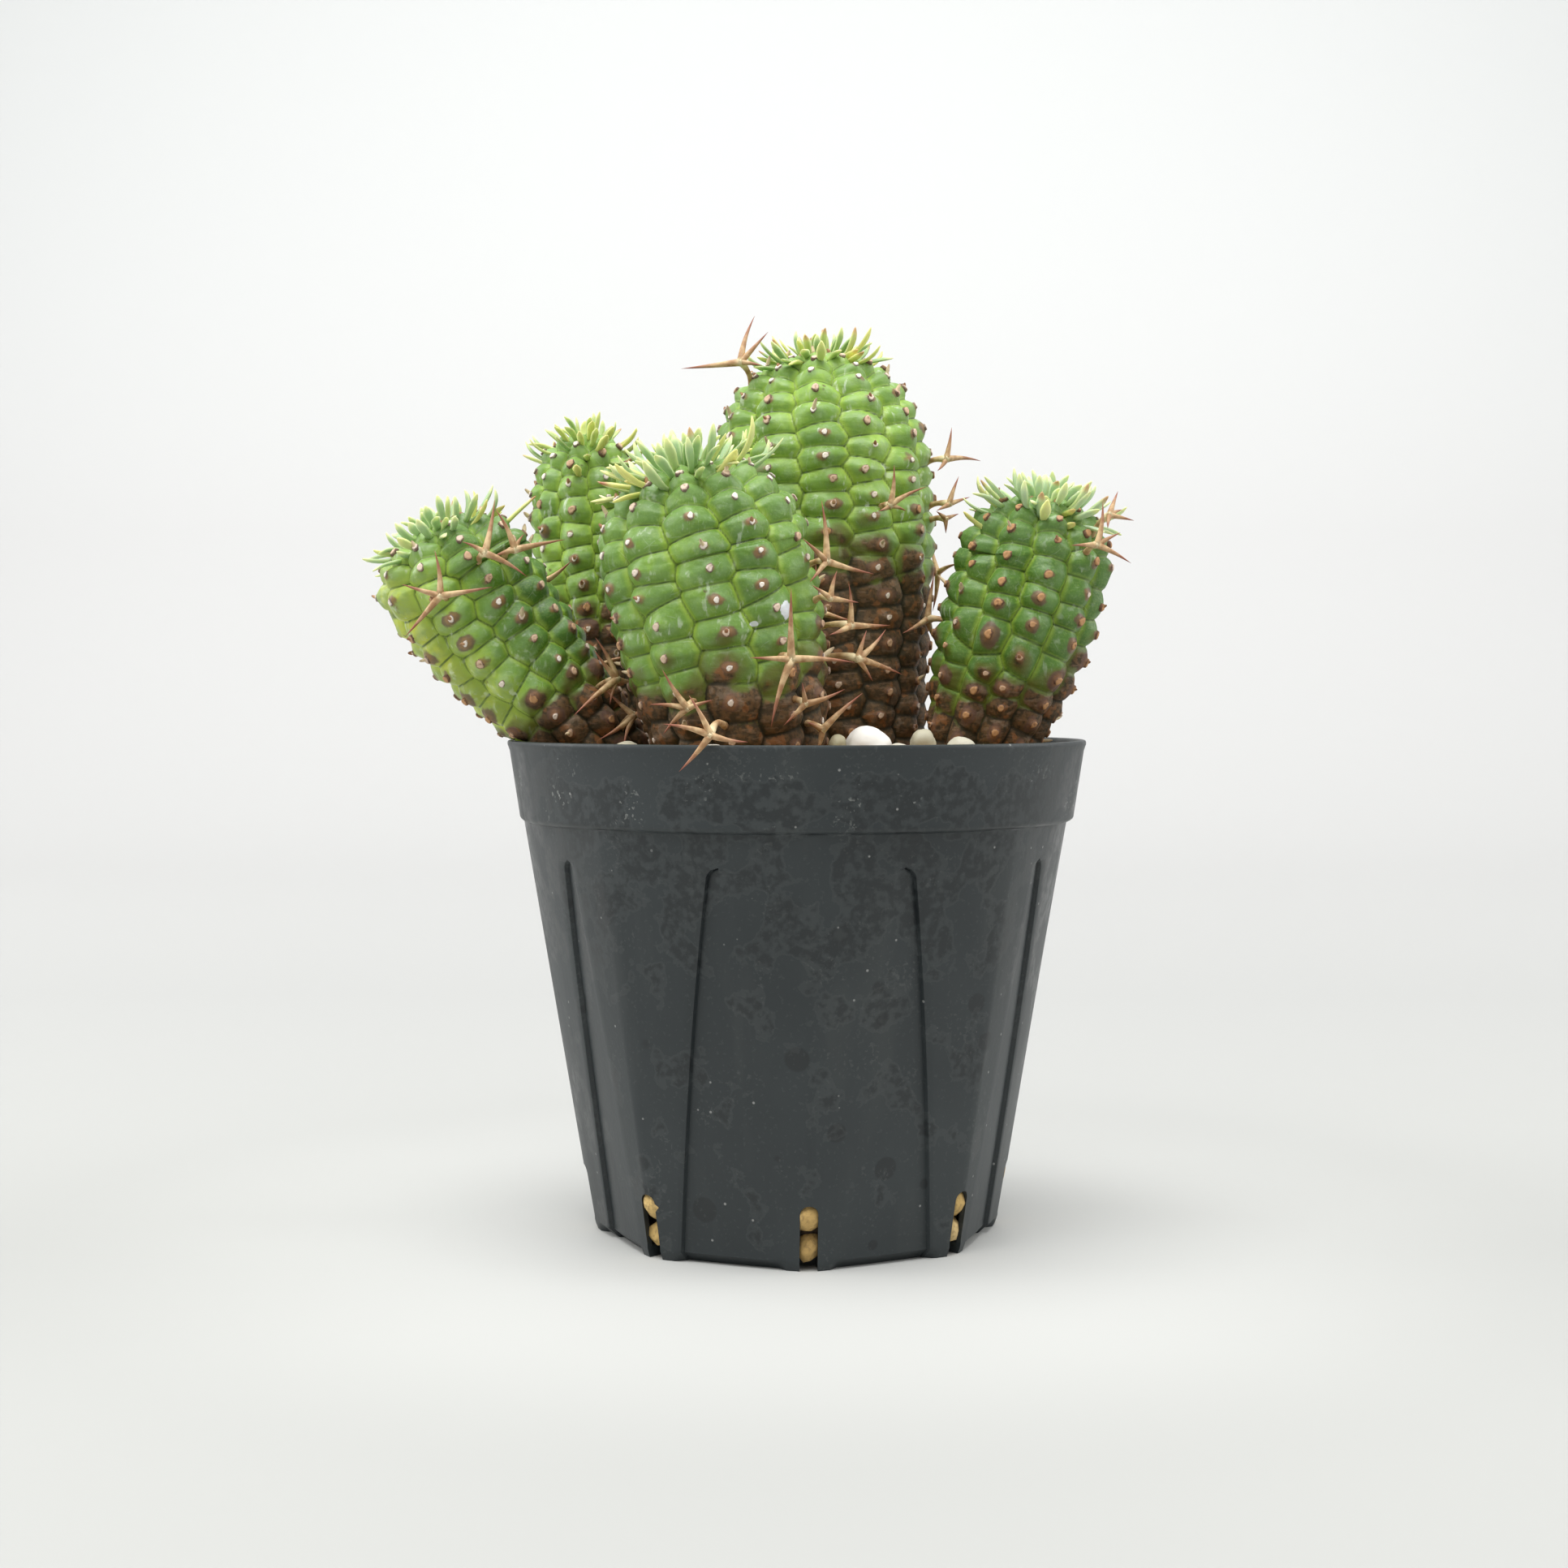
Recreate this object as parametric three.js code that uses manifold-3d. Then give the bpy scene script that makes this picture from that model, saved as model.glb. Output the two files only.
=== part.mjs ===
// A potted euphorbia: five ribbed, spiny succulent heads that grow from gritty
// soil in a dark slit pot. Millimetres, +Z up, the front looks along -Y, and
// the origin is the centre of the pot's underside.

import * as THREE from 'three';
import { mergeVertices } from 'three/addons/utils/BufferGeometryUtils.js';
import Module from 'manifold-3d';

const wasm = await Module();
wasm.setup();

// ---- Driving dimensions -------------------------------------------------

// Pot: a round collar on an octagonal tapering body with eight slits.
const POT_SIDES = 8;
const POT_TURN = 3.17; // degrees from the front to the first corner
const POT_HEIGHT = 89.5;
const MOUTH_RADIUS = 52.5;
const COLLAR_BOTTOM = 75.7;
const COLLAR_RADIUS = 50.4; // at the collar's lower edge
const BODY_TOP = 75.0;
const BODY_MIDDLE = 36;
const BODY_RADIUS = 49.76; // corner radius just under the collar
const BASE_RADIUS = 37.15; // corner radius at the underside
const TOP_FLATNESS = 0.25; // 0 is round, 1 is a sharp octagon
const BASE_FLATNESS = 0.75;
const COLLAR_WALL = 1.1;
const BODY_WALL = 2.0;
const FLOOR = 1.8;
const EDGE_RISE = 0.8; // the underside's edge is chamfered between the feet
const FOOT_HALF_ANGLE = 10;

const SLIT_WIDTH = 3.1;
const SLIT_TOP = 11.6;
const SLIT_FROM_RADIUS = 31.5;

// Recessed facets: [crease at top, crease at base, step at top, step at base],
// degrees from the front corner, repeated in the pot's other three quarters.
const RECESS_TOP = 69;
const RECESS_ARCH = 1.6;
const RECESS_DEPTH = 0.9;
const RECESSES = [[17, 5.9, 21, 36.7], [57, 51, 60.5, 74.5]];

const FIT_GAP = 0.45; // between the soil and what it touches

// Soil
const GRAIN_PITCH = 5.6; // from grain to grain along a row of the top layer
const GRAIN_ROW = 4.85; // from row to row
const GRAIN_WANDER = 1.1; // how far a grain lies off its place, from side to side
const GRAIN_TOP = 88.3;
const GRAIN_DIP = 86.9;
const GRAIN_VARY = 0.9;
const HOLE_SIDES = 12;

// Loose stones bedded in the soil: [x, y, width, depth, height, top z]
const STONES = [
  [12.0, -30.5, 8.4, 7.4, 6.6, 92.4],
  [21.6, -29.0, 4.6, 4.4, 5.2, 92.0],
  [28.2, -28.0, 5.2, 4.8, 3.4, 90.5],
  [6.9, -33.5, 3.2, 3.4, 3.6, 91.0],
  [17.0, -38.0, 5.0, 4.4, 3.6, 89.6],
  [34.5, -22.0, 4.6, 5.4, 3.8, 90.0],
  [-14.0, -42.5, 5.4, 4.4, 3.6, 89.6],
  [-29.0, -31.0, 5.0, 5.8, 3.8, 89.8],
  [-19.0, 38.0, 6.4, 5.0, 4.4, 90.3],
  [3.0, 42.5, 5.0, 4.6, 3.6, 89.7],
  [31.0, 27.0, 6.2, 5.6, 4.4, 90.4],
  [42.0, 14.0, 4.6, 5.0, 3.6, 89.8],
  [-12.5, 6.0, 5.2, 4.6, 3.6, 89.9],
];

// Stems: stations [x, y, z, radius over the tubercles] from the buried end to
// the widest ring, then the crown's centre. Ribs are counted around, rows down
// from the crown; turn is the first rib's angle from the front in degrees, and
// each rib starts its rows a fixed part of a row below the one before.
const STEMS = {
  head_front: {
    stations: [[-8.0, -20.2, 80, 11.5], [-9.4, -21, 89.3, 15.0], [-11.2, -22, 98.5, 16.8],
      [-12.9, -22, 107, 18.1], [-14.6, -22, 115, 18.7], [-16.0, -22, 121, 18.6]],
    crown: [-19.6, -22.5, 137.5],
    ribs: 11, pitch: 5.3, turn: -1, stagger: 7 / 11, phase: 0.7,
    grooveDepth: 1.5, color: 0x5b9550,
  },
  head_tall: {
    stations: [[9.6, 18, 80, 12.5], [9.0, 18, 89, 15.6], [8.2, 18, 99, 16.7],
      [7.2, 18, 113, 18.4], [6.0, 18, 125, 20.0], [4.9, 18, 138, 20.6]],
    crown: [3.5, 18, 162.0],
    ribs: 12, pitch: 4.6, turn: -2, stagger: 7 / 12, phase: 0.15,
    grooveDepth: 1.5, color: 0x5f9a4e,
  },
  head_left: {
    stations: [[-29.6, -6.4, 80.5, 6.8], [-32.6, -7, 85, 7.8], [-37.8, -8, 91, 9.4],
      [-46.3, -8.7, 100, 11.9], [-54.6, -9.4, 110, 13.6], [-60.8, -10.2, 118.5, 14.3]],
    crown: [-65.4, -11.0, 129.8],
    ribs: 9, pitch: 4.8, turn: -14, stagger: 4 / 9, phase: 0.0,
    grooveDepth: 1.4, color: 0x569048,
  },
  head_back_left: {
    stations: [[-32.0, 20, 80, 6.4], [-34.0, 20, 89, 7.8], [-37.3, 20.5, 100, 9.2],
      [-39.0, 21, 111, 9.9], [-40.0, 21, 123, 10.4], [-40.4, 21, 134, 10.3]],
    crown: [-39.9, 21, 147.3],
    ribs: 10, pitch: 4.4, turn: -8, stagger: 4 / 10, phase: 0.3,
    grooveDepth: 1.1, color: 0x4f8a4a,
  },
  head_right: {
    stations: [[31.0, 0.8, 80, 8.2], [33.4, 0, 88.5, 10.2], [36.2, 0, 97.5, 12.2],
      [38.8, -1, 106, 13.5], [41.2, -1, 114, 14.1], [43.2, -1, 121, 14.0]],
    crown: [45.4, -1, 133.5],
    ribs: 11, pitch: 5.0, turn: 8, stagger: 3 / 11, phase: 0.1,
    grooveDepth: 1.4, color: 0x4f8a4a,
  },
};
const DOME_POWER = 0.8; // how square the crown's shoulders are
const CROWN_PITCH = 0.35; // the rows close up to this part of the pitch at the crown
const ROW_DEPTH = 0.9; // the dip between two tubercles of a rib
const FIRST_ROW = 1.0; // rows above this are under the crown's leaves
const FINE_ROW = 4; // and rows above this are too small to dip
const BURIED_BELOW = 87; // stems are plain under this height

// Crown leaves
const LEAVES_PER_HEAD = 13;
const LEAF_LENGTH = 5.4;
const LEAF_WIDTH = 1.7;
const LEAF_THICKNESS = 0.8;
const LEAF_ROOT = 1.8;
const GOLDEN_ANGLE = 137.5;

// Star spines on old flower stalks: [rib, row, stalk length, lift and sway of
// the stalk in degrees, then each ray's angle in degrees and its length].
const STALK_RADIUS = 0.75;
const HUB_RADIUS = 1.1;
const RAY_RADIUS = 0.55;
const THORN_SIDES = 3;
const SPINES = {
  head_left: [
    [0, 7, 5, 10, 20, 95, 9, 15, 8, 195, 8, 230, 10],
    [1, 6, 6, 0, 20, 80, 10, 10, 8, 330, 9, 160, 8],
    [2, 12, 5, 0, 0, 120, 9, 40, 8, 230, 9],
    [1, 14, 5, 30, 20, 100, 7, 220, 7, 300, 5],
    [4, 8, 6, 0, 0, 60, 9, 180, 8, 300, 9],
  ],
  head_front: [
    [-1, 12, 4, 0, 0, 120, 9, 215, 9, 20, 8],
    [0, 12, 5, 0, -25, 115, 8, 165, 8, 235, 9, 340, 9],
    [1, 11, 5, 0, 0, 90, 12, 180, 8, 0, 12, 250, 12],
    [2, 8, 5, 0, 0, 100, 11, 345, 9, 150, 7],
    [2, 11, 7, 0, 0, 50, 8, 340, 9, 150, 6],
  ],
  head_tall: [
    [-2, 6, 6, 0, 0, 50, 9, 110, 9, 190, 12, 350, 7],
    [1, 12, 4, 0, 0, 30, 8, 85, 8, 340, 6],
    [3, 10, 6, 0, -10, 85, 7, 0, 7],
    [5, 9, 6, 0, 0, 60, 9, 180, 8, 300, 9],
    [6, 14, 5, 0, 0, 90, 9, 210, 8, 330, 9],
    [-4, 13, 5, 0, 0, 30, 8, 150, 8, 270, 9],
  ],
  head_back_left: [
    [5, 7, 5, 0, 0, 60, 8, 180, 8, 300, 8],
    [-4, 11, 5, 0, 0, 90, 8, 210, 8],
  ],
  head_right: [
    [1, 6, 5, 0, 25, 95, 8, 180, 6, 330, 8],
    [1, 4, 6, 20, 30, 75, 5, 0, 6],
    [5, 7, 6, 0, 0, 60, 9, 180, 8, 300, 9],
    [-4, 9, 5, 0, 0, 90, 9, 210, 8, 330, 8],
  ],
};

// ---- Geometry helpers ---------------------------------------------------

const radians = THREE.MathUtils.degToRad;

// A point at an angle in degrees from the front (-Y) towards the right (+X).
function polar(angle, radius, z) {
  return new THREE.Vector3(radius * Math.sin(radians(angle)), -radius * Math.cos(radians(angle)), z);
}

function signedVolume(points, index) {
  let volume = 0;
  for (let i = 0; i < index.length; i += 3) {
    const [a, b, c] = [points[index[i]], points[index[i + 1]], points[index[i + 2]]];
    volume += a.dot(b.clone().cross(c)) / 6;
  }
  return volume;
}

function geometryFrom(points, index) {
  const outward = signedVolume(points, index) > 0;
  const geometry = new THREE.BufferGeometry();
  geometry.setAttribute('position', new THREE.Float32BufferAttribute(points.flatMap((p) => p.toArray()), 3));
  geometry.setIndex(outward ? index : index.slice().reverse());
  return geometry;
}

// A closed skin over rings of equal length. An end closes on a pole point
// where one is given, and with a flat cap where it isn't.
function loft(rings, startPole = null, endPole = null) {
  const count = rings[0].length;
  const points = rings.flat();
  const index = [];
  for (let ring = 0; ring + 1 < rings.length; ring += 1) {
    for (let i = 0; i < count; i += 1) {
      const a = ring * count + i;
      const b = ring * count + (i + 1) % count;
      index.push(a, b, b + count, a, b + count, a + count);
    }
  }
  const close = (first, pole, flip) => {
    const add = (a, b, c) => index.push(...(flip ? [a, c, b] : [a, b, c]));
    if (pole) points.push(pole);
    for (let i = pole ? 0 : 1; i < (pole ? count : count - 1); i += 1) {
      add(pole ? points.length - 1 : first, first + (i + 1) % count, first + i);
    }
  };
  close(0, startPole, false);
  close((rings.length - 1) * count, endPole, true);
  return geometryFrom(points, index);
}

function toSolid(geometry) {
  const shared = geometry.clone();
  shared.deleteAttribute('normal');
  shared.deleteAttribute('uv');
  const merged = mergeVertices(shared);
  return new wasm.Manifold(new wasm.Mesh({
    numProp: 3,
    vertProperties: new Float32Array(merged.attributes.position.array),
    triVerts: new Uint32Array(merged.index.array),
  }));
}

function fromSolid(solid) {
  const mesh = solid.getMesh();
  const geometry = new THREE.BufferGeometry();
  geometry.setAttribute('position', new THREE.BufferAttribute(mesh.vertProperties, 3));
  geometry.setIndex(new THREE.BufferAttribute(mesh.triVerts, 1));
  return geometry;
}

function fuse(base, pieces) {
  return fromSolid(pieces.reduce((solid, piece) => solid.add(toSolid(piece)), toSolid(base)));
}

function cut(base, pieces) {
  return fromSolid(pieces.reduce((solid, piece) => solid.subtract(toSolid(piece)), toSolid(base)));
}

// The biggest of the bodies that a cut leaves.
function largest(geometry) {
  const bodies = toSolid(geometry).decompose();
  return fromSolid(bodies.reduce((best, body) => (body.volume() > best.volume() ? body : best)));
}

function namedMesh(name, geometry, color, roughness) {
  geometry.computeVertexNormals();
  const mesh = new THREE.Mesh(geometry, new THREE.MeshStandardMaterial({ color, roughness, metalness: 0 }));
  mesh.name = name;
  return mesh;
}

// A repeatable draw between 0 and 1 for a whole number.
function draw(seed) {
  const value = Math.sin(seed * 127.1 + 311.7) * 43758.5453;
  return value - Math.floor(value);
}

// The same for a grain of the top layer, by its column and row; kind tells its draws apart.
function scatter(i, j, kind) {
  const value = Math.sin(i * 127.1 + j * 311.7 + kind * 74.7 + 3.7) * 43758.5453;
  return value - Math.floor(value);
}

// ---- Pot ----------------------------------------------------------------

const POT_COLUMNS = 4 * POT_SIDES;

// The body's radius at an angle from its front corner: between a circle and an
// octagon, and narrowing straight down from the collar to the underside.
function bodyRadius(angle, z) {
  const side = 360 / POT_SIDES;
  const fromMiddle = THREE.MathUtils.euclideanModulo(angle, side) - side / 2;
  const octagon = Math.cos(radians(side / 2)) / Math.cos(radians(fromMiddle));
  const height = z / BODY_TOP;
  const flatness = THREE.MathUtils.lerp(BASE_FLATNESS, TOP_FLATNESS, height);
  return THREE.MathUtils.lerp(BASE_RADIUS, BODY_RADIUS, height) * (1 + flatness * (octagon - 1));
}

function potRing(radiusAt, z) {
  const ring = [];
  for (let i = 0; i < POT_COLUMNS; i += 1) {
    const angle = (360 * i) / POT_COLUMNS;
    ring.push(polar(angle + POT_TURN, radiusAt(angle), z));
  }
  return ring;
}

function underEdge(angle) {
  const side = 360 / POT_SIDES;
  const fromCorner = Math.abs(THREE.MathUtils.euclideanModulo(angle + side / 2, side) - side / 2);
  return bodyRadius(angle, 0) - (fromCorner < FOOT_HALF_ANGLE ? 0.2 : 2 * EDGE_RISE);
}

// A tapering prism that cuts one recessed facet: flush with the body along its
// crease, RECESS_DEPTH deep along its step, and arched at its top.
function recessCutter([creaseTop, creaseBase, stepTop, stepBase], turn, mirror) {
  const levels = [-1, RECESS_TOP - RECESS_ARCH, RECESS_TOP - 0.4 * RECESS_ARCH, RECESS_TOP];
  const widths = [1, 1, 0.8, 0.25];
  const rings = levels.map((z, i) => {
    const height = z / RECESS_TOP;
    const crease = THREE.MathUtils.lerp(creaseBase, creaseTop, height);
    const step = THREE.MathUtils.lerp(stepBase, stepTop, height);
    const middle = (crease + step) / 2;
    const half = (widths[i] * (step - crease)) / 2;
    const place = (angle, out) => {
      const around = turn + mirror * angle;
      return polar(around + POT_TURN, bodyRadius(around, Math.max(z, 0)) + out, z);
    };
    return [place(middle - half, 0.02), place(middle + half, -RECESS_DEPTH),
      place(middle + half, 2.5), place(middle - half, 2.5)];
  });
  return loft(rings);
}

function slitCutter(angle) {
  const half = SLIT_WIDTH / 2;
  const outline = new THREE.Shape();
  outline.moveTo(-half, -1);
  outline.lineTo(half, -1);
  outline.lineTo(half, SLIT_TOP - half);
  outline.absarc(0, SLIT_TOP - half, half, 0, Math.PI, false);
  const depth = BASE_RADIUS + 5 - SLIT_FROM_RADIUS;
  const cutter = new THREE.ExtrudeGeometry(outline, { depth, bevelEnabled: false, curveSegments: 6 });
  cutter.translate(0, 0, SLIT_FROM_RADIUS);
  cutter.rotateX(Math.PI / 2);
  cutter.rotateZ(radians(angle));
  return cutter;
}

function makePot() {
  const collarInner = COLLAR_RADIUS - COLLAR_WALL;
  const mouthInner = MOUTH_RADIUS - COLLAR_WALL;
  const rings = [
    potRing(underEdge, 0),
    potRing((angle) => bodyRadius(angle, EDGE_RISE), EDGE_RISE),
    potRing((angle) => bodyRadius(angle, BODY_MIDDLE), BODY_MIDDLE),
    potRing((angle) => bodyRadius(angle, BODY_TOP), BODY_TOP),
    potRing(() => COLLAR_RADIUS, COLLAR_BOTTOM),
    potRing(() => MOUTH_RADIUS - 0.05, POT_HEIGHT - 0.8),
    potRing(() => MOUTH_RADIUS, POT_HEIGHT - 0.3),
    potRing(() => MOUTH_RADIUS - 0.3, POT_HEIGHT),
    potRing(() => mouthInner + 0.2, POT_HEIGHT),
    potRing(() => mouthInner, POT_HEIGHT - 0.4),
    potRing(() => collarInner, COLLAR_BOTTOM),
    potRing((angle) => bodyRadius(angle, BODY_TOP) - BODY_WALL, BODY_TOP - 1),
    potRing((angle) => bodyRadius(angle, BODY_MIDDLE) - BODY_WALL, BODY_MIDDLE),
    potRing((angle) => bodyRadius(angle, FLOOR) - BODY_WALL, FLOOR),
  ];
  const body = loft(rings, new THREE.Vector3(0, 0, 0), new THREE.Vector3(0, 0, FLOOR));
  const cutters = [];
  for (const recess of RECESSES) {
    for (const [turn, mirror] of [[0, 1], [0, -1], [180, 1], [180, -1]]) {
      cutters.push(recessCutter(recess, turn, mirror));
    }
  }
  for (let i = 0; i < POT_SIDES; i += 1) cutters.push(slitCutter(POT_TURN + (360 / POT_SIDES) * i));
  return cut(body, cutters);
}

// ---- Stems --------------------------------------------------------------

function catmull(a, b, c, d, t) {
  return 0.5 * (2 * b + (c - a) * t + (2 * a - 5 * b + 4 * c - d) * t * t + (3 * b - a - 3 * c + d) * t ** 3);
}

// The stem's axis and radius, sampled closely from the buried end to the crown:
// a smooth curve through the stations, then a dome.
function stemProfile(stem) {
  const { stations, crown } = stem;
  const last = stations.length - 1;
  const before = stations[0].map((v, i) => 2 * v - stations[1][i]);
  const after = stations[last].map((v, i) => 2 * v - stations[last - 1][i]);
  const padded = [before, ...stations, after];
  const samples = [];
  const steps = 20;
  for (let i = 0; i <= last * steps; i += 1) {
    const span = Math.min(Math.floor(i / steps), last - 1);
    const t = i / steps - span;
    const [a, b, c, d] = padded.slice(span, span + 4);
    const [x, y, z, radius] = a.map((_, k) => catmull(a[k], b[k], c[k], d[k], t));
    samples.push({ centre: new THREE.Vector3(x, y, z), radius, dome: false });
  }
  const shoulder = samples[samples.length - 1];
  const domeSteps = 50;
  for (let i = 1; i <= domeSteps; i += 1) {
    const angle = (Math.PI / 2) * (i / domeSteps);
    const centre = shoulder.centre.clone().lerp(new THREE.Vector3(...crown), Math.sin(angle));
    const radius = shoulder.radius * Math.max(Math.cos(angle), 0) ** DOME_POWER;
    samples.push({ centre, radius, dome: true });
  }
  addFrames(samples);
  addRows(samples, stem.pitch, shoulder.radius);
  return samples;
}

// Each sample's axis, its front and right directions, and its surface slope.
function addFrames(samples) {
  samples.forEach((sample, i) => {
    const below = samples[Math.max(i - 1, 0)];
    const above = samples[Math.min(i + 1, samples.length - 1)];
    const along = above.centre.clone().sub(below.centre);
    sample.axis = along.clone().normalize();
    const front = new THREE.Vector3(0, -1, 0);
    sample.front = front.addScaledVector(sample.axis, -front.dot(sample.axis)).normalize();
    sample.right = sample.axis.clone().cross(sample.front);
    const slope = new THREE.Vector2(along.length(), below.radius - above.radius).normalize();
    sample.outPart = slope.x;
    sample.upPart = slope.y;
  });
}

// Each sample's row number, counted down from the crown.
function addRows(samples, pitch, shoulderRadius) {
  let row = 0;
  samples[samples.length - 1].row = 0;
  for (let i = samples.length - 2; i >= 0; i -= 1) {
    const [here, above] = [samples[i], samples[i + 1]];
    const run = here.centre.distanceTo(above.centre);
    const length = Math.hypot(run, here.radius - above.radius);
    const share = above.dome ? above.radius / shoulderRadius : 1;
    row += length / (pitch * (CROWN_PITCH + (1 - CROWN_PITCH) * share));
    here.row = row;
  }
}

function sampleAt(samples, row) {
  let i = samples.length - 2;
  while (i > 0 && samples[i].row < row) i -= 1;
  const [lower, upper] = [samples[i], samples[i + 1]];
  const t = THREE.MathUtils.clamp((lower.row - row) / (lower.row - upper.row), 0, 1);
  const mix = (key) => lower[key].clone().lerp(upper[key], t);
  const blend = (key) => THREE.MathUtils.lerp(lower[key], upper[key], t);
  return {
    centre: mix('centre'), axis: mix('axis').normalize(), front: mix('front').normalize(),
    right: mix('right').normalize(), radius: blend('radius'), outPart: blend('outPart'), upPart: blend('upPart'),
  };
}

// The point and outward direction on a stem at a row and an angle in degrees.
function onStem(samples, row, angle) {
  const here = sampleAt(samples, row);
  const away = here.front.clone().multiplyScalar(Math.cos(radians(angle)));
  away.addScaledVector(here.right, Math.sin(radians(angle)));
  const outward = away.clone().multiplyScalar(here.outPart).addScaledVector(here.axis, here.upPart).normalize();
  const point = here.centre.clone().addScaledVector(away, here.radius);
  return { point, outward, radius: here.radius, axis: here.axis };
}

function rowShift(stem, rib) {
  const shift = THREE.MathUtils.euclideanModulo(stem.phase + rib * stem.stagger, 1);
  return shift > 0.5 ? shift - 1 : shift;
}

// Ribs of tubercles: each rib is a ridge between two grooves, with a peak at
// every row and a dip between, and the ribs' rows are staggered.
function stemGeometry(stem, samples) {
  const soilRow = samples.find((sample) => sample.centre.z > BURIED_BELOW).row;
  const width = 360 / stem.ribs;
  const rings = [];
  for (let row = Math.floor(soilRow * 2) / 2; row >= FIRST_ROW; row -= row > FINE_ROW ? 0.5 : 1) {
    const peak = Number.isInteger(row);
    const ring = [];
    for (let rib = 0; rib < stem.ribs; rib += 1) {
      const groove = onStem(samples, row, stem.turn + (rib - 0.5) * width);
      const size = Math.min(1, groove.radius / 8);
      ring.push(groove.point.addScaledVector(groove.outward, -stem.grooveDepth * size));
      const crest = onStem(samples, row + rowShift(stem, rib), stem.turn + rib * width);
      ring.push(crest.point.addScaledVector(crest.outward, peak ? 0 : -ROW_DEPTH * size));
    }
    rings.push(ring);
  }
  const plain = (row) => {
    const ring = [];
    for (let i = 0; i < 2 * stem.ribs; i += 1) {
      const spot = onStem(samples, row, stem.turn + (i - 1) * (width / 2));
      ring.push(spot.point.addScaledVector(spot.outward, -stem.grooveDepth / 2));
    }
    return ring;
  };
  const endRow = samples[0].row;
  rings.unshift(plain(endRow - 0.01), plain((endRow + soilRow + 1) / 2));
  return loft(rings, samples[0].centre.clone(), samples[samples.length - 1].centre.clone());
}

// A leaf along three points: keeled below, flat above, and pointed.
function blade(stations, side, face) {
  const rings = stations.slice(0, -1).map(({ at, width }) => [
    at.clone().addScaledVector(side, -width / 2),
    at.clone().addScaledVector(side, width / 2),
    at.clone().addScaledVector(face, -LEAF_THICKNESS),
  ]);
  return loft(rings, null, stations[stations.length - 1].at);
}

// Leaves stand round the crown by the golden angle, the outer ones more laid
// back, and each arches outward.
function crownLeaves(samples, seed) {
  const leaves = [];
  for (let i = 0; i < LEAVES_PER_HEAD; i += 1) {
    const spread = Math.sqrt((i + 0.6) / LEAVES_PER_HEAD);
    const spot = onStem(samples, 0.7 + 3.2 * spread, i * GOLDEN_ANGLE + 40 * draw(seed));
    const away = spot.outward.clone().addScaledVector(spot.axis, -spot.outward.dot(spot.axis)).normalize();
    const tilt = radians(15 + 55 * spread + 16 * (draw(seed + i) - 0.5));
    const rise = spot.axis.clone().multiplyScalar(Math.cos(tilt)).addScaledVector(away, Math.sin(tilt));
    const bent = rise.clone().addScaledVector(away, 0.45).normalize();
    const side = spot.axis.clone().cross(away).normalize();
    const face = rise.clone().cross(side).normalize();
    const length = LEAF_LENGTH * (0.8 + 0.4 * draw(seed + 7 * i));
    const root = spot.point.clone().addScaledVector(rise, -LEAF_ROOT);
    const middle = spot.point.clone().addScaledVector(rise, 0.55 * length);
    const tip = middle.clone().addScaledVector(bent, 0.45 * length);
    leaves.push(blade([
      { at: root, width: 0.75 * LEAF_WIDTH },
      { at: middle, width: LEAF_WIDTH },
      { at: tip },
    ], side, face));
  }
  return leaves;
}

function thorn(from, middle, tip, rootRadius, middleRadius) {
  const direction = tip.clone().sub(from).normalize();
  const helper = Math.abs(direction.z) < 0.8 ? new THREE.Vector3(0, 0, 1) : new THREE.Vector3(1, 0, 0);
  const side = direction.clone().cross(helper).normalize();
  const up = side.clone().cross(direction);
  const ring = (at, radius) => Array.from({ length: THORN_SIDES }, (_, i) => at.clone()
    .addScaledVector(side, radius * Math.cos((2 * Math.PI * i) / THORN_SIDES))
    .addScaledVector(up, radius * Math.sin((2 * Math.PI * i) / THORN_SIDES)));
  return loft([ring(from, rootRadius), ring(middle, middleRadius)], null, tip);
}

// A star spine: a stalk from a scar, and rays around its end that bend back.
function starSpine(stem, samples, [rib, row, stalk, lift, sway, ...rays]) {
  const angle = stem.turn + (rib * 360) / stem.ribs;
  const spot = onStem(samples, row + rowShift(stem, rib), angle);
  const up = spot.axis.clone().addScaledVector(spot.outward, -spot.axis.dot(spot.outward)).normalize();
  const right = up.clone().cross(spot.outward);
  const ahead = spot.outward.clone().addScaledVector(up, Math.tan(radians(lift)));
  ahead.addScaledVector(right, Math.tan(radians(sway))).normalize();
  const acrossRight = right.clone().addScaledVector(ahead, -right.dot(ahead)).normalize();
  const acrossUp = ahead.clone().cross(acrossRight);
  const root = spot.point.clone().addScaledVector(spot.outward, -1.6);
  const hub = spot.point.clone().addScaledVector(ahead, stalk);
  const end = hub.clone().addScaledVector(ahead, HUB_RADIUS);
  const pieces = [thorn(root, hub, end, STALK_RADIUS, HUB_RADIUS)];
  for (let i = 0; i < rays.length; i += 2) {
    const [turn, length] = [radians(rays[i]), rays[i + 1]];
    const out = acrossRight.clone().multiplyScalar(Math.cos(turn)).addScaledVector(acrossUp, Math.sin(turn));
    const from = hub.clone().addScaledVector(out, 0.2);
    const middle = hub.clone().addScaledVector(out, 0.5 * length).addScaledVector(ahead, 0.1 * length);
    const tip = hub.clone().addScaledVector(out, length).addScaledVector(ahead, 0.06 * length);
    pieces.push(thorn(from, middle, tip, RAY_RADIUS, 0.8 * RAY_RADIUS));
  }
  return pieces;
}

function makeHead(name, index) {
  const stem = STEMS[name];
  const samples = stemProfile(stem);
  const pieces = crownLeaves(samples, 10 * index + 1);
  for (const spine of SPINES[name]) pieces.push(...starSpine(stem, samples, spine));
  return fuse(stemGeometry(stem, samples), pieces);
}

// ---- Soil ---------------------------------------------------------------

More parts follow.
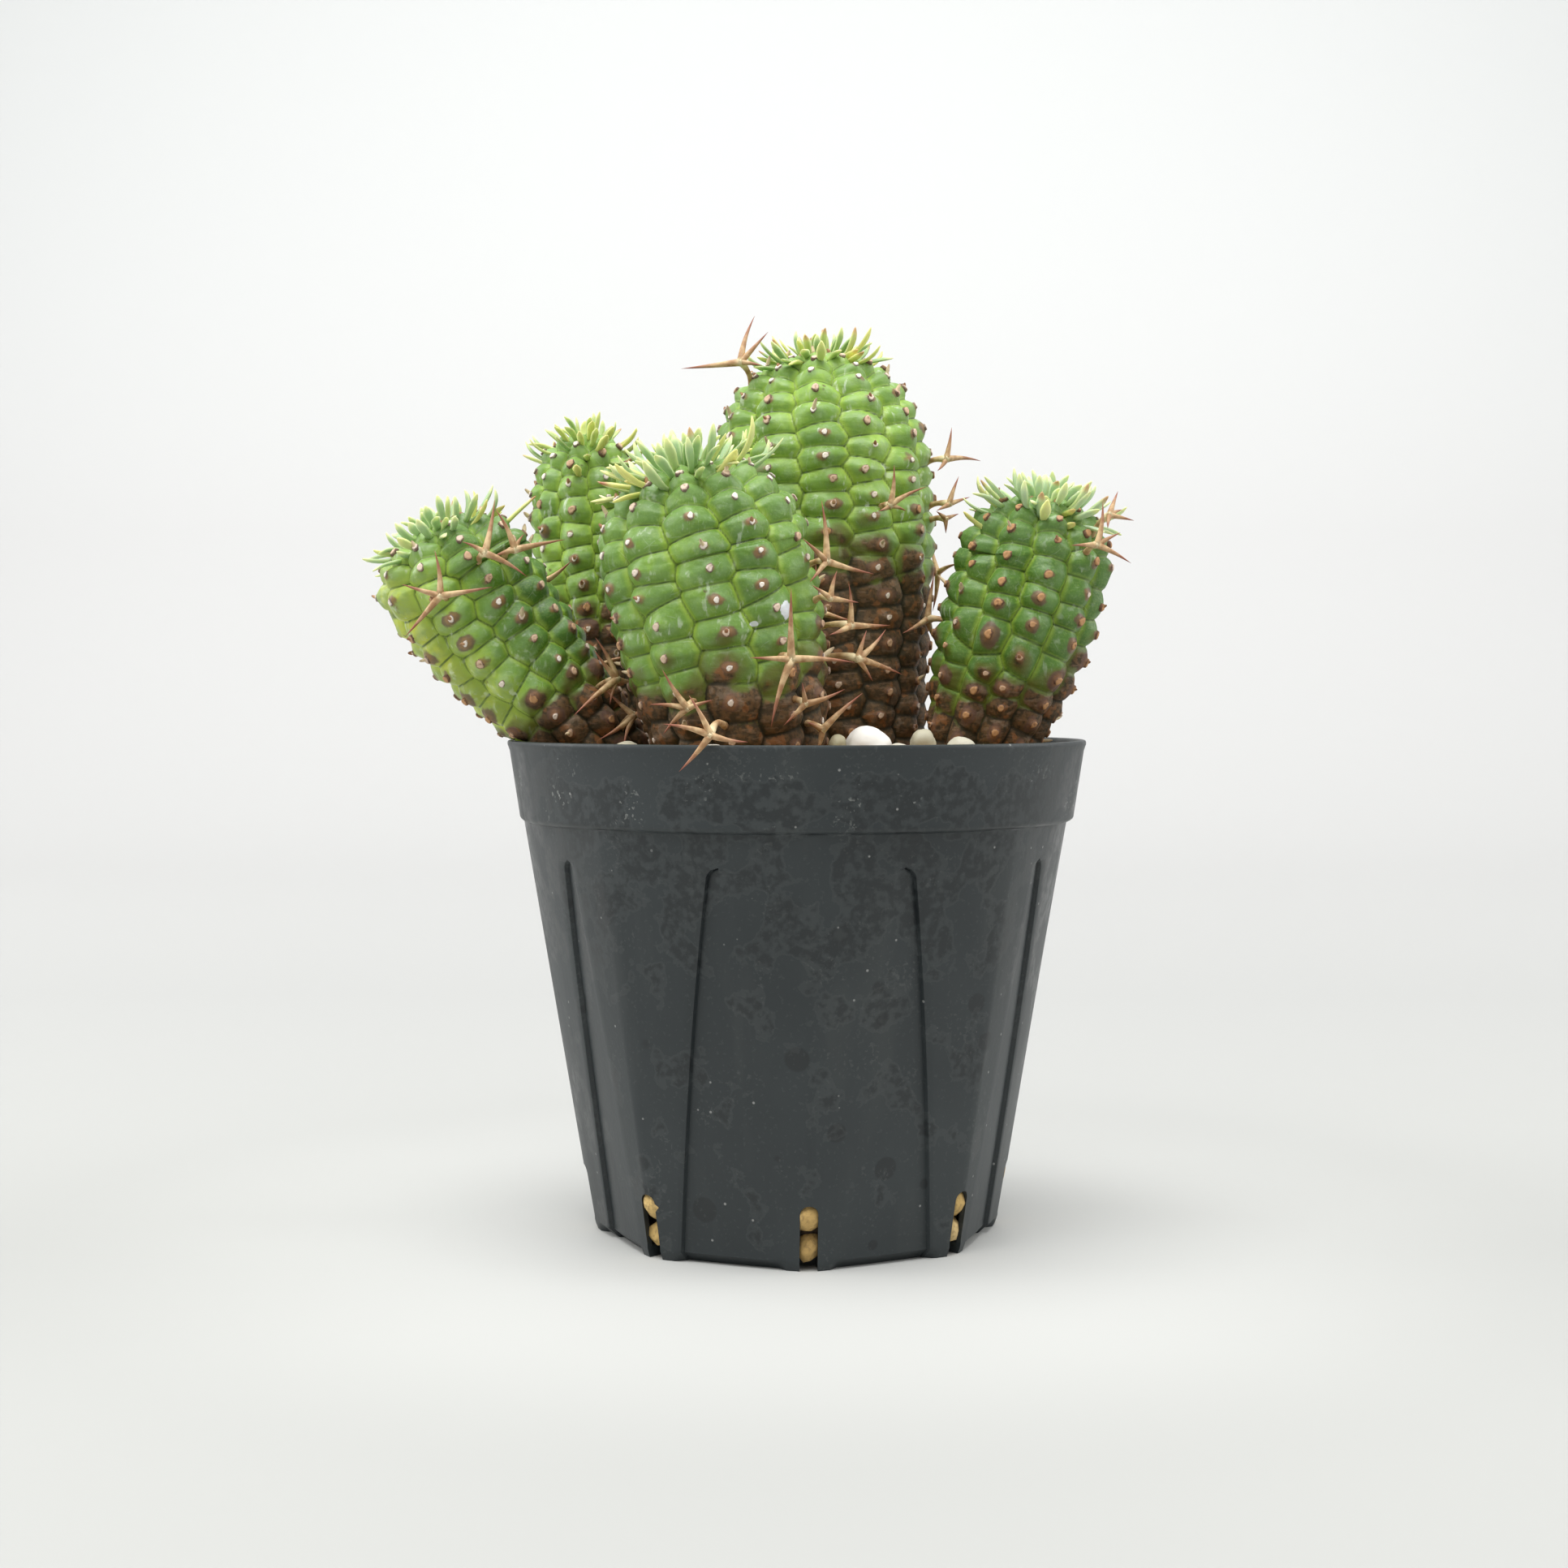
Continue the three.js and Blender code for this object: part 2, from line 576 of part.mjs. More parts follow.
// Gritty soil: it fills the pot to a gap of FIT_GAP, its top is lumpy, loose
// stones are bedded in it, and each stem stands in a plain hole.
function makeSoil() {
  const inner = (z) => (angle) => bodyRadius(angle, z) - BODY_WALL - FIT_GAP;
  const collar = COLLAR_RADIUS - COLLAR_WALL - FIT_GAP;
  const rings = [
    potRing(inner(FLOOR), FLOOR + FIT_GAP),
    potRing(inner(BODY_MIDDLE), BODY_MIDDLE),
    potRing(inner(BODY_TOP - 1), BODY_TOP - 1),
    potRing(() => collar, COLLAR_BOTTOM + FIT_GAP),
    potRing(() => collar + 1.7, POT_HEIGHT - 0.3),
  ];
  const fill = loft(rings, new THREE.Vector3(0, 0, FLOOR + FIT_GAP), new THREE.Vector3(0, 0, POT_HEIGHT - 0.3));
  const bedded = fromSolid(toSolid(fill).intersect(toSolid(gravelSlab())));
  const stones = STONES.map(([x, y, width, depth, height, top], i) => {
    const stone = new THREE.IcosahedronGeometry(0.5, i < 2 ? 1 : 0);
    stone.rotateZ(6 * draw(i + 50));
    stone.scale(width, depth, height);
    stone.translate(x, y, top - height / 2);
    return stone;
  });
  return largest(cut(fuse(bedded, stones), Object.values(STEMS).map(stemHole)));
}

// A slab, wider than the pot, whose top is the grains' top layer: one peak for
// each grain of a jittered lattice, and one dip between each three grains.
function gravelSlab() {
  const reach = { i: 11, j: 13 };
  const points = [];
  const index = [];
  const numbers = new Map();
  const grain = (i, j) => {
    const key = `${i},${j}`;
    if (!numbers.has(key)) {
      const wander = (k) => GRAIN_WANDER * (scatter(i, j, k) - 0.5);
      points.push(new THREE.Vector3((i + (j & 1 ? 0.5 : 0)) * GRAIN_PITCH + wander(0), j * GRAIN_ROW + wander(1),
        GRAIN_TOP + GRAIN_VARY * (scatter(i, j, 2) - 0.5)));
      numbers.set(key, points.length - 1);
    }
    return numbers.get(key);
  };
  const dip = (a, b, c) => {
    const low = points[a].clone().add(points[b]).add(points[c]).divideScalar(3);
    low.z = GRAIN_DIP + 0.4 * (low.z - GRAIN_TOP);
    points.push(low);
    const d = points.length - 1;
    index.push(a, b, d, b, c, d, c, a, d);
  };
  for (let j = -reach.j; j < reach.j; j += 1) {
    for (let i = -reach.i; i < reach.i; i += 1) {
      if (j & 1) {
        dip(grain(i, j), grain(i + 1, j), grain(i + 1, j + 1));
        dip(grain(i, j), grain(i + 1, j + 1), grain(i, j + 1));
      } else {
        dip(grain(i, j), grain(i + 1, j), grain(i, j + 1));
        dip(grain(i + 1, j), grain(i + 1, j + 1), grain(i, j + 1));
      }
    }
  }
  const border = [];
  for (let i = -reach.i; i < reach.i; i += 1) border.push(grain(i, -reach.j));
  for (let j = -reach.j; j < reach.j; j += 1) border.push(grain(reach.i, j));
  for (let i = reach.i; i > -reach.i; i -= 1) border.push(grain(i, reach.j));
  for (let j = reach.j; j > -reach.j; j -= 1) border.push(grain(-reach.i, j));
  const first = points.length;
  for (const edge of border) points.push(new THREE.Vector3(points[edge].x, points[edge].y, -1));
  const centre = points.length;
  points.push(new THREE.Vector3(0, 0, -1));
  border.forEach((a, n) => {
    const next = (n + 1) % border.length;
    const [b, underA, underB] = [border[next], first + n, first + next];
    index.push(b, a, underA, b, underA, underB, centre, underB, underA);
  });
  return geometryFrom(points, index);
}

// A plain hole that clears a stem's tubercles by FIT_GAP and more.
function stemHole(stem) {
  const samples = stemProfile(stem).filter((sample, i) => i % 10 === 0 && sample.centre.z < 100);
  const rings = samples.map(({ centre, radius, front, right }) => {
    const ring = [];
    for (let i = 0; i < HOLE_SIDES; i += 1) {
      const angle = (2 * Math.PI * i) / HOLE_SIDES;
      const point = centre.clone().addScaledVector(front, (radius + 2 * FIT_GAP) * Math.cos(angle));
      ring.push(point.addScaledVector(right, (radius + 2 * FIT_GAP) * Math.sin(angle)));
    }
    return ring;
  });
  const drop = samples[0].axis.clone().multiplyScalar(-2 * FIT_GAP);
  rings[0].forEach((point) => point.add(drop));
  return loft(rings);
}

// ---- The object ---------------------------------------------------------

const plant = new THREE.Group();
plant.add(namedMesh('pot', makePot(), 0x3a4142, 0.55));
plant.add(namedMesh('soil', makeSoil(), 0xc9b98a, 0.95));
Object.keys(STEMS).forEach((name, index) => {
  plant.add(namedMesh(name, makeHead(name, index), STEMS[name].color, 0.6));
});

export default plant;
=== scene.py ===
"""A potted euphorbia: five ribbed, spiny succulent stems in a dark slit pot of gritty soil.

Shapes are worked out in millimetres and put into meshes in metres. +Z is up and -Y is the front.
"""
import math

import bpy
import numpy as np
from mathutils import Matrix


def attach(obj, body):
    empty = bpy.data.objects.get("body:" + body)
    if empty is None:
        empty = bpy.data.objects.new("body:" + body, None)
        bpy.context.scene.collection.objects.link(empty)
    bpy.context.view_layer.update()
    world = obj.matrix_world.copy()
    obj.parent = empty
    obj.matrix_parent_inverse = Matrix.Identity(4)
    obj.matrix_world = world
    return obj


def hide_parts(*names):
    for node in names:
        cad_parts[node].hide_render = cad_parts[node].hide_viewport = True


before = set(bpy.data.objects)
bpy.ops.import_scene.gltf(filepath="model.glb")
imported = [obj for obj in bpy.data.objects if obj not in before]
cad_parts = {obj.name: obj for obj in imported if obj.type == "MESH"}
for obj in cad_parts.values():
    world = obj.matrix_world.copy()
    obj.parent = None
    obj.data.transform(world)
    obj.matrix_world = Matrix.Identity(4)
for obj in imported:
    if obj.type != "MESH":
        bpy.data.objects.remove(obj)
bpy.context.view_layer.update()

# ---- Camera --------------------------------------------------------------
# The object is seen almost level, from a little under half a metre away.
camera_data = bpy.data.cameras.new("camera")
camera_data.sensor_width = 36.0
camera_data.lens = 55.55
camera_data.clip_start = 0.01
camera = bpy.data.objects.new("camera", camera_data)
camera.location = (0.0, -0.443, 0.098)
camera.rotation_euler = (math.radians(90 - 2.16), 0.0, math.radians(0.30))
bpy.context.scene.collection.objects.link(camera)
bpy.context.scene.camera = camera
bpy.context.scene.view_settings.view_transform = "Standard"


# ---- Studio floor and light ----------------------------------------------
# A pale sheet that sweeps up behind the object, lit by broad soft lights from
# above and both sides and by a nearly white room. Its colour carries painted light: lighter up the wall and
# round the pot.
def put_mesh(name, points, faces, attributes=None, smooth=True):
    """Makes a mesh object from points in millimetres, faces, and named values per vertex."""
    mesh = bpy.data.meshes.new(name)
    mesh.from_pydata((np.asarray(points) * 0.001).tolist(), [], [tuple(face) for face in faces])
    for key, values in (attributes or {}).items():
        layer = mesh.attributes.new(key, "FLOAT", "POINT")
        layer.data.foreach_set("value", np.asarray(values, dtype=np.float32).ravel())
    mesh.polygons.foreach_set("use_smooth", np.full(len(mesh.polygons), smooth))
    mesh.validate()
    mesh.update()
    piece = bpy.data.objects.new(name, mesh)
    bpy.context.scene.collection.objects.link(piece)
    return piece


def grid_faces(rows, columns, closed=False):
    """Quads of a grid of rows by columns, numbered row by row. A closed grid goes round on its
    columns, and its first and last rows are gathered to one more point each."""
    i, j = np.meshgrid(np.arange(rows - 1), np.arange(columns if closed else columns - 1), indexing="ij")
    here, beside = i * columns + j, i * columns + (j + 1) % columns
    faces = np.stack([here, beside, beside + columns, here + columns], -1).reshape(-1, 4).tolist()
    if closed:
        around, following = np.arange(columns), (np.arange(columns) + 1) % columns
        last, count = (rows - 1) * columns, rows * columns
        faces += np.stack([following, around, np.full(columns, count)], -1).tolist()
        faces += np.stack([around + last, following + last, np.full(columns, count + 1)], -1).tolist()
    return faces


class Nodes:
    """Short ways to add nodes to a tree. Values are sockets, numbers, or RGB triples for colours."""

    def __init__(self, tree, where=None):
        self.tree = tree
        self.where = where

    def feed(self, node, inputs):
        """Links or sets inputs of a node, by name or number."""
        for key, value in inputs.items():
            socket = node.inputs[key]
            if isinstance(value, bpy.types.NodeSocket):
                self.tree.links.new(value, socket)
            else:
                socket.default_value = (*value, 1) if socket.type == "RGBA" else value

    def node(self, kind, inputs, **settings):
        """Adds a shader node, sets its properties and feeds its inputs."""
        node = self.tree.nodes.new("ShaderNode" + kind)
        for key, value in settings.items():
            setattr(node, key, value)
        self.feed(node, inputs)
        return node

    def math(self, operation, *values, clamp=False):
        """One Math node."""
        return self.node("Math", dict(enumerate(values)), operation=operation, use_clamp=clamp).outputs[0]

    def times(self, first, second):
        """The product of two values."""
        return self.math("MULTIPLY", first, second)

    def add_up(self, total, *shares):
        """The total plus each (value, share) pair multiplied."""
        for value, share in shares:
            total = self.math("MULTIPLY_ADD", value, share, total)
        return total

    def fade(self, value, low, high, to_low=0.0, to_high=1.0):
        """A smooth step from to_low, where the value is low, to to_high, where it is high."""
        inputs = {"Value": value, "From Min": low, "From Max": high, "To Min": to_low, "To Max": to_high}
        return self.node("MapRange", inputs, interpolation_type="SMOOTHSTEP").outputs["Result"]

    def noise(self, scale, detail, place=None):
        """Soft noise between 0 and 1."""
        place = self.where if place is None else place
        return self.node("TexNoise", {"Vector": place, "Scale": scale, "Detail": detail}).outputs["Fac"]

    def mix(self, mask, below, above):
        """The colour below where the mask is 0, above where it is 1."""
        return self.node("Mix", {0: mask, 6: below, 7: above}, data_type="RGBA").outputs[2]

    def paint(self, color, *coats):
        """A colour under coats of (mask, strength, colour), laid on in order."""
        for mask, strength, coat in coats:
            color = self.mix(self.times(mask, strength), color, coat)
        return color

    def ramp(self, value, *steps):
        """A colour ramp through (position, colour) steps, the first at 0 and the last at 1."""
        node = self.node("ValToRGB", {"Fac": value})
        marks = node.color_ramp.elements
        marks[0].color, marks[1].color = (*steps[0][1], 1), (*steps[-1][1], 1)
        for position, color in steps[1:-1]:
            marks.new(position).color = (*color, 1)
        return node.outputs["Color"]


def mask_group():
    """Noise turned into a mask: 0 under the threshold, 1 above it, with a soft edge between."""
    group = bpy.data.node_groups.new("blotch_mask", "ShaderNodeTree")
    group.interface.new_socket("Vector", in_out="INPUT", socket_type="NodeSocketVector")
    for name in ("Scale", "Detail", "Threshold", "Softness"):
        group.interface.new_socket(name, in_out="INPUT", socket_type="NodeSocketFloat")
    group.interface.new_socket("Mask", in_out="OUTPUT", socket_type="NodeSocketFloat")
    given = group.nodes.new("NodeGroupInput").outputs
    nodes = Nodes(group, given["Vector"])
    top = nodes.math("ADD", given["Threshold"], given["Softness"])
    mask = nodes.fade(nodes.noise(given["Scale"], given["Detail"]), given["Threshold"], top)
    group.links.new(mask, group.nodes.new("NodeGroupOutput").inputs["Mask"])
    return group


BLOTCHES = mask_group()


class Finish(Nodes):
    """A material: a Principled shader, fed by masks and colours in object coordinates."""

    def __init__(self, name, roughness, inputs=None):
        self.material = bpy.data.materials.new(name)
        self.material.use_nodes = True
        super().__init__(self.material.node_tree)
        self.shader = self.tree.nodes["Principled BSDF"]
        self.feed(self.shader, {"Roughness": roughness, **(inputs or {})})
        self.where = self.node("TexCoord", {}).outputs["Object"]

    def value(self, name):
        """A named value of the mesh's vertices."""
        return self.node("Attribute", {}, attribute_name=name).outputs["Fac"]

    def blotches(self, scale, threshold, softness, detail=4.0, place=None):
        """The mask of the shared node group."""
        inputs = {"Vector": self.where if place is None else place, "Scale": scale, "Detail": detail,
                  "Threshold": threshold, "Softness": softness}
        return self.node("Group", inputs, node_tree=BLOTCHES).outputs["Mask"]

    def cells(self, scale):
        """Distance to the nearest of scattered points, and that point's own draw."""
        node = self.node("TexVoronoi", {"Vector": self.where, "Scale": scale})
        return node.outputs["Distance"], self.node("SeparateColor", {0: node.outputs["Color"]}).outputs[0]

    def warp(self, **inputs):
        """Object coordinates turned or stretched."""
        return self.node("Mapping", {"Vector": self.where, **inputs}).outputs[0]

    def close(self, color, height, strength, distance, rough=None):
        """Feeds the shader its colour, a bump from a height, and its roughness if that varies."""
        bump = self.node("Bump", {"Height": height, "Strength": strength, "Distance": distance})
        self.feed(self.shader, {"Base Color": color, "Normal": bump.outputs["Normal"]})
        if rough is not None:
            self.feed(self.shader, {"Roughness": rough})


SWEEP_START, SWEEP_BEND = 900.0, 900.0


def sweep(x, run):
    """The backdrop: level in front, a quarter circle, then a wall; run is the way along it."""
    turned = np.clip((run - SWEEP_START) / SWEEP_BEND, 0, math.pi / 2)
    y = np.minimum(run, SWEEP_START) + SWEEP_BEND * np.sin(turned)
    z = SWEEP_BEND * (1 - np.cos(turned)) + np.maximum(run - SWEEP_START - SWEEP_BEND * math.pi / 2, 0)
    return np.stack([x, y, z], -1)


sweep_x, sweep_run = np.meshgrid(np.linspace(-3500, 3500, 3), np.linspace(-2500, 4200, 90))
backdrop = put_mesh("backdrop", sweep(sweep_x, sweep_run).reshape(-1, 3), grid_faces(90, 3))
paper = Finish("matt_backdrop_paper", 0.75)
depth = paper.node("SeparateXYZ", {0: paper.where}).outputs["Y"]
depth = paper.node("MapRange", {"Value": depth, "From Min": 0.02, "From Max": 1.8}).outputs["Result"]
# Painted light: the paper is painted darker in front and lighter up the wall, for the fall of light on it.
painted_light_paper = paper.ramp(depth, (0.0, (0.410, 0.414, 0.400)), (0.18, (0.425, 0.428, 0.419)),
                   (0.50, (0.545, 0.545, 0.538)), (0.83, (0.672, 0.672, 0.668)), (1.0, (0.815, 0.83, 0.825)))
# Painted light: the paper is painted lighter round the pot, to cancel the shadow that the pot casts.
from_pot = paper.node("VectorMath", {0: paper.where}, operation="LENGTH").outputs["Value"]
painted_light_paper = paper.mix(paper.fade(from_pot, 0.035, 0.150, 1.0, 0.0), painted_light_paper, (0.545, 0.550, 0.532))
paper.feed(paper.shader, {"Base Color": painted_light_paper})
backdrop.data.materials.append(paper.material)

world = bpy.data.worlds.new("studio")
world.use_nodes = True
sky = Nodes(world.node_tree)
sky_way = sky.node("SeparateXYZ", {0: sky.node("TexCoord", {}).outputs["Generated"]}).outputs["Z"]
sky_color = sky.ramp(sky_way, (0.0, (0.30, 0.30, 0.30)), (0.45, (0.80, 0.80, 0.79)), (1.0, (1.0, 1.0, 0.985)))
sky.feed(world.node_tree.nodes["Background"], {"Color": sky_color, "Strength": 0.82})
bpy.context.scene.world = world


def soft_light(name, place, aim, size, power):
    """A square area light at a place in metres, turned to face the point aim."""
    light = bpy.data.lights.new(name, "AREA")
    light.size = size
    light.energy = power
    lamp = bpy.data.objects.new(name, light)
    lamp.location = place
    away = np.array(place) - np.array(aim)
    flat = math.hypot(away[0], away[1])
    lamp.rotation_euler = (math.atan2(flat, away[2]), 0, math.atan2(away[0], -away[1]))
    bpy.context.scene.collection.objects.link(lamp)


soft_light("top_softbox", (-0.12, -0.35, 1.15), (0, 0, 0.1), 0.9, 14.0)
soft_light("left_softbox", (-1.2, 0.15, 0.6), (0, 0, 0.1), 0.9, 8.0)
soft_light("right_softbox", (1.2, 0.15, 0.6), (0, 0, 0.1), 0.9, 6.5)
soft_light("wall_softbox", (0.0, 0.7, 1.9), (0, 2.0, 0.5), 1.6, 14.0)
# ---- Pot -----------------------------------------------------------------
# One injection-moulded shell of dark grey plastic: a round collar on a body
# that narrows and turns octagonal, with shallow recessed facets and a slit
# cut through the foot of each corner.
POT_TURN = 3.17
POT_HEIGHT = 89.5
COLLAR_BOTTOM = 75.7
BODY_TOP = 75.0
MOUTH_RADIUS, COLLAR_RADIUS, BODY_RADIUS, BASE_RADIUS = 52.5, 50.4, 49.76, 37.15
TOP_FLATNESS, BASE_FLATNESS = 0.25, 0.75
POT_WALL, POT_FLOOR = 1.15, 2.0
RECESS_TOP, RECESS_ARCH, RECESS_DEPTH = 69.0, 1.6, 0.85
# Crease and step of a recess, in degrees from the octant's start: (top, base).
RECESS_LINES = {"A": ((17.0, 5.9), (21.0, 36.7)), "B": ((12.0, 6.0), (15.5, 29.5))}
OCTANTS = 2 * ["A+", "B+", "B-", "A-"]


def body_radius(angle, z):
    """Radius of the tapering body: a circle blended into an octagon, flatter towards the base."""
    octagon = math.cos(math.pi / 8) / np.cos(np.radians(angle % 45 - 22.5))
    height = z / BODY_TOP
    flatness = BASE_FLATNESS + (TOP_FLATNESS - BASE_FLATNESS) * height
    return (BASE_RADIUS + (BODY_RADIUS - BASE_RADIUS) * height) * (1 + flatness * (octagon - 1))


def pot_columns(z):
    """Column angles and recess depths for a column of heights z: the grid lines follow each
    recess's crease and step, which slide apart towards the base and meet in an arch at the top."""
    angles, depths = [], []
    height = np.clip(z / RECESS_TOP, 0, 1)[:, None]
    arch = np.clip((z - (RECESS_TOP - RECESS_ARCH)) / RECESS_ARCH, 0, 1)[:, None]
    open_share = np.where(z[:, None] > RECESS_TOP + 0.01, 0.0, 1.0)
    narrow = np.clip(np.sqrt(1 - arch ** 2), 0.08, 1)
    for index, kind in enumerate(OCTANTS):
        (crease_top, crease_base), (step_top, step_base) = RECESS_LINES[kind[0]]
        crease = crease_base + (crease_top - crease_base) * height
        step = step_base + (step_top - step_base) * height
        middle, half = (crease + step) / 2, (step - crease) / 2 * narrow
        crease, step = middle - half, middle + half
        before = crease * np.linspace(0, 1, 8)[None, :-1]
        share = np.linspace(0, 1, 14)[None, :]
        inside = crease + (step - crease) * share
        rise = np.sin(np.clip(share * 12, 0, math.pi / 2))
        depth = RECESS_DEPTH * open_share * (0.06 + 0.94 * share) * rise
        lip = step + np.array([[0.28, 0.5]])
        after = lip[:, -1:] + (45 - lip[:, -1:]) * np.linspace(0, 1, 9)[None, 1:-1]
        local = np.concatenate([before, inside, lip, after], 1)
        deep = np.concatenate([np.zeros_like(before), depth, 0.1 * depth[:, -1:], np.zeros_like(after),
                               np.zeros_like(after[:, :1])], 1)
        if kind[1] == "-":
            local, deep = (45 - local[:, ::-1]), deep[:, ::-1]
            local = np.concatenate([np.zeros_like(local[:, :1]), local[:, :-1]], 1)
            deep = np.concatenate([np.zeros_like(deep[:, :1]), deep[:, :-1]], 1)
        angles.append(local + 45 * index)
        depths.append(deep)
    return np.concatenate(angles, 1), np.concatenate(depths, 1)


def place_around(angle, radius, z):
    """Points at angles in degrees from the front corner, at a radius and a height."""
    angle, radius, z = np.broadcast_arrays(angle, radius, z)
    turned = np.radians(angle + POT_TURN)
    return np.stack([radius * np.sin(turned), -radius * np.cos(turned), z], -1)


def collar_radius(z):
    """Radius of the collar's outside, which widens evenly up to the mouth."""
    slope = (MOUTH_RADIUS - COLLAR_RADIUS) / (POT_HEIGHT - COLLAR_BOTTOM)
    return COLLAR_RADIUS + slope * (z - COLLAR_BOTTOM)


def pot_outside():
    """Outer skin from the base's edge up to the lip: body, the small step under the collar, collar."""
    arch_base = RECESS_TOP - RECESS_ARCH
    z_body = np.concatenate([[0.0, 0.25, 0.6, 1.0, 1.5, 1.75], np.linspace(2.4, arch_base, 44),
                             RECESS_TOP - RECESS_ARCH * (1 - np.sin(np.linspace(0.2, 1.5, 7))),
                             [RECESS_TOP + 0.15, 70.2, 71.6, 73.2, 74.4, 74.75]])
    angle, depth = pot_columns(z_body)
    z = z_body[:, None]
    off_corner = np.clip((np.abs((angle + 22.5) % 45 - 22.5) - 6.5) / 1.0, 0, 1)
    lift = 0.75 * off_corner
    edge = np.clip((1.0 + lift - z) / (1.0 + lift), 0, 1) * (0.25 + 1.5 * off_corner)
    parting = 0.12 * np.exp(-((z - 1.65) / 0.16) ** 2)
    body = place_around(angle, body_radius(angle, z) - depth - edge * 0.9 + parting, z)
    collar_z = np.array([74.95, 75.15, 75.4, 75.7, 76.1, 80, 84, 87.6, 88.3, 88.7, 89.1, 89.38, 89.5])
    bevel = np.array([-0.75, -0.35, -0.12, 0.0, 0.0, 0, 0, 0, 0.12, 0.22, 0.18, 0.02, -0.32])
    collar = place_around(angle[-1:], (collar_radius(collar_z) + bevel)[:, None], collar_z[:, None])
    return np.concatenate([body, collar]), z_body, angle, depth


def pot_inside(z_body, angle, depth):
    """Inner skin from the lip down to the floor: the outside drawn in by the wall's thickness."""
    collar_z = np.array([89.45, 89.2, 88.7, 84, 80, 76.2, 75.2])
    radius = collar_radius(collar_z) - POT_WALL + np.array([0.35, 0.1, 0, 0, 0, 0, -0.4])
    collar = place_around(angle[-1:], radius[:, None], collar_z[:, None])
    above_floor = z_body > 1.9
    z = z_body[above_floor][::-1][:, None]
    angle, depth = angle[above_floor][::-1], depth[above_floor][::-1]
    return np.concatenate([collar, place_around(angle, body_radius(angle, z) - depth - POT_WALL, z - 0.4)])


def pot_shell():
    """The closed shell: outside, lip, inside, then the floor's two faces gathered to its centre."""
    outside, z_body, angle, depth = pot_outside()
    ring = np.concatenate([outside, pot_inside(z_body, angle, depth)])
    shrink = np.linspace(1, 0, 6)[1:-1, None, None]
    floor_in = ring[-1:] * [1, 1, 0] * shrink + [0, 0, POT_FLOOR]
    floor_out = ring[:1] * [1, 1, 0] * shrink[::-1]
    grid = np.concatenate([floor_out, ring, floor_in])
    points = np.concatenate([grid.reshape(-1, 3), [[0, 0, 0], [0, 0, POT_FLOOR]]])
    return points, grid_faces(*grid.shape[:2], closed=True)


pot = put_mesh("pot_shell", *pot_shell())

SLIT_WIDTH, SLIT_TOP, SLIT_FROM = 3.1, 11.6, 31.5
BELOW_POT, BEYOND_POT = -2.0, 6.0


def slit_cutters():
    """Eight bars with a round top, one through each corner's foot."""
    half = SLIT_WIDTH / 2
    turn = np.linspace(0, math.pi, 13)
    across = np.concatenate([[half], half * np.cos(turn), [-half]])
    height = np.concatenate([[BELOW_POT], SLIT_TOP - half + half * np.sin(turn), [BELOW_POT]])
    count = len(across)
    points, faces = [], []
    for corner in range(8):
        angle = math.radians(POT_TURN + 45 * corner)
        start = 2 * count * corner
        for radius in (SLIT_FROM, BASE_RADIUS + BEYOND_POT):
            points.append(np.stack([radius * math.sin(angle) + across * math.cos(angle),
                                    -radius * math.cos(angle) + across * math.sin(angle), height], -1))
        faces += [[start + i for i in reversed(range(count))], [start + count + i for i in range(count)]]
        faces += [(start + i, start + (i + 1) % count, start + count + (i + 1) % count, start + count + i)
                  for i in range(count)]
    return np.concatenate(points), faces


cutters = put_mesh("slit_cutters", *slit_cutters(), smooth=False)
cut_slits = pot.modifiers.new("slits", "BOOLEAN")
cut_slits.operation = "DIFFERENCE"
cut_slits.solver = "EXACT"
cut_slits.object = cutters
bpy.context.view_layer.objects.active = pot
bpy.ops.object.modifier_apply(modifier="slits")
bpy.data.objects.remove(cutters)
pot.data.set_sharp_from_angle(angle=math.radians(38))

plastic = Finish("weathered_grey_plastic", 0.45, {"Specular IOR Level": 0.45})
height = plastic.node("SeparateXYZ", {0: plastic.where}).outputs["Z"]
collar_band = plastic.times(plastic.fade(height, 0.0745, 0.0785), plastic.fade(height, 0.0865, 0.0815))
body_band = plastic.times(plastic.fade(height, 0.028, 0.066), plastic.fade(height, 0.0765, 0.0745))
wet_edge = plastic.add_up(0.60, (plastic.add_up(collar_band, (body_band, 0.62)), -0.19))
fine_stain = plastic.blotches(620.0, 0.36, 0.22, 8.0)
stain = plastic.times(plastic.blotches(120.0, wet_edge, 0.045, 10.0), fine_stain)
wider = plastic.blotches(120.0, plastic.math("SUBTRACT", wet_edge, 0.016), 0.008, 10.0)
outline = plastic.math("SUBTRACT", wider, stain, clamp=True)
drop_distance, drop_draw = plastic.cells(125.0)
drop_size = plastic.times(plastic.math("SUBTRACT", drop_draw, 0.45), 0.62)
drop = plastic.fade(plastic.math("SUBTRACT", drop_distance, drop_size), 0.03, -0.02)
drop = plastic.times(drop, plastic.fade(height, 0.074, 0.050))
streak = plastic.blotches(130.0, 0.50, 0.22, 7.0, plastic.warp(Scale=(1, 1, 0.13)))
haze = plastic.blotches(24.0, 0.38, 0.34)
chalk = plastic.times(plastic.blotches(1300.0, 0.58, 0.05, 6.0), plastic.blotches(110.0, 0.56, 0.06, 5.0))
chalk = plastic.times(chalk, plastic.add_up(0.15, (collar_band, 0.9)))
dust_distance, dust_draw = plastic.cells(420.0)
dust = plastic.times(plastic.fade(dust_distance, 0.13, 0.06), plastic.fade(dust_draw, 0.86, 0.89))
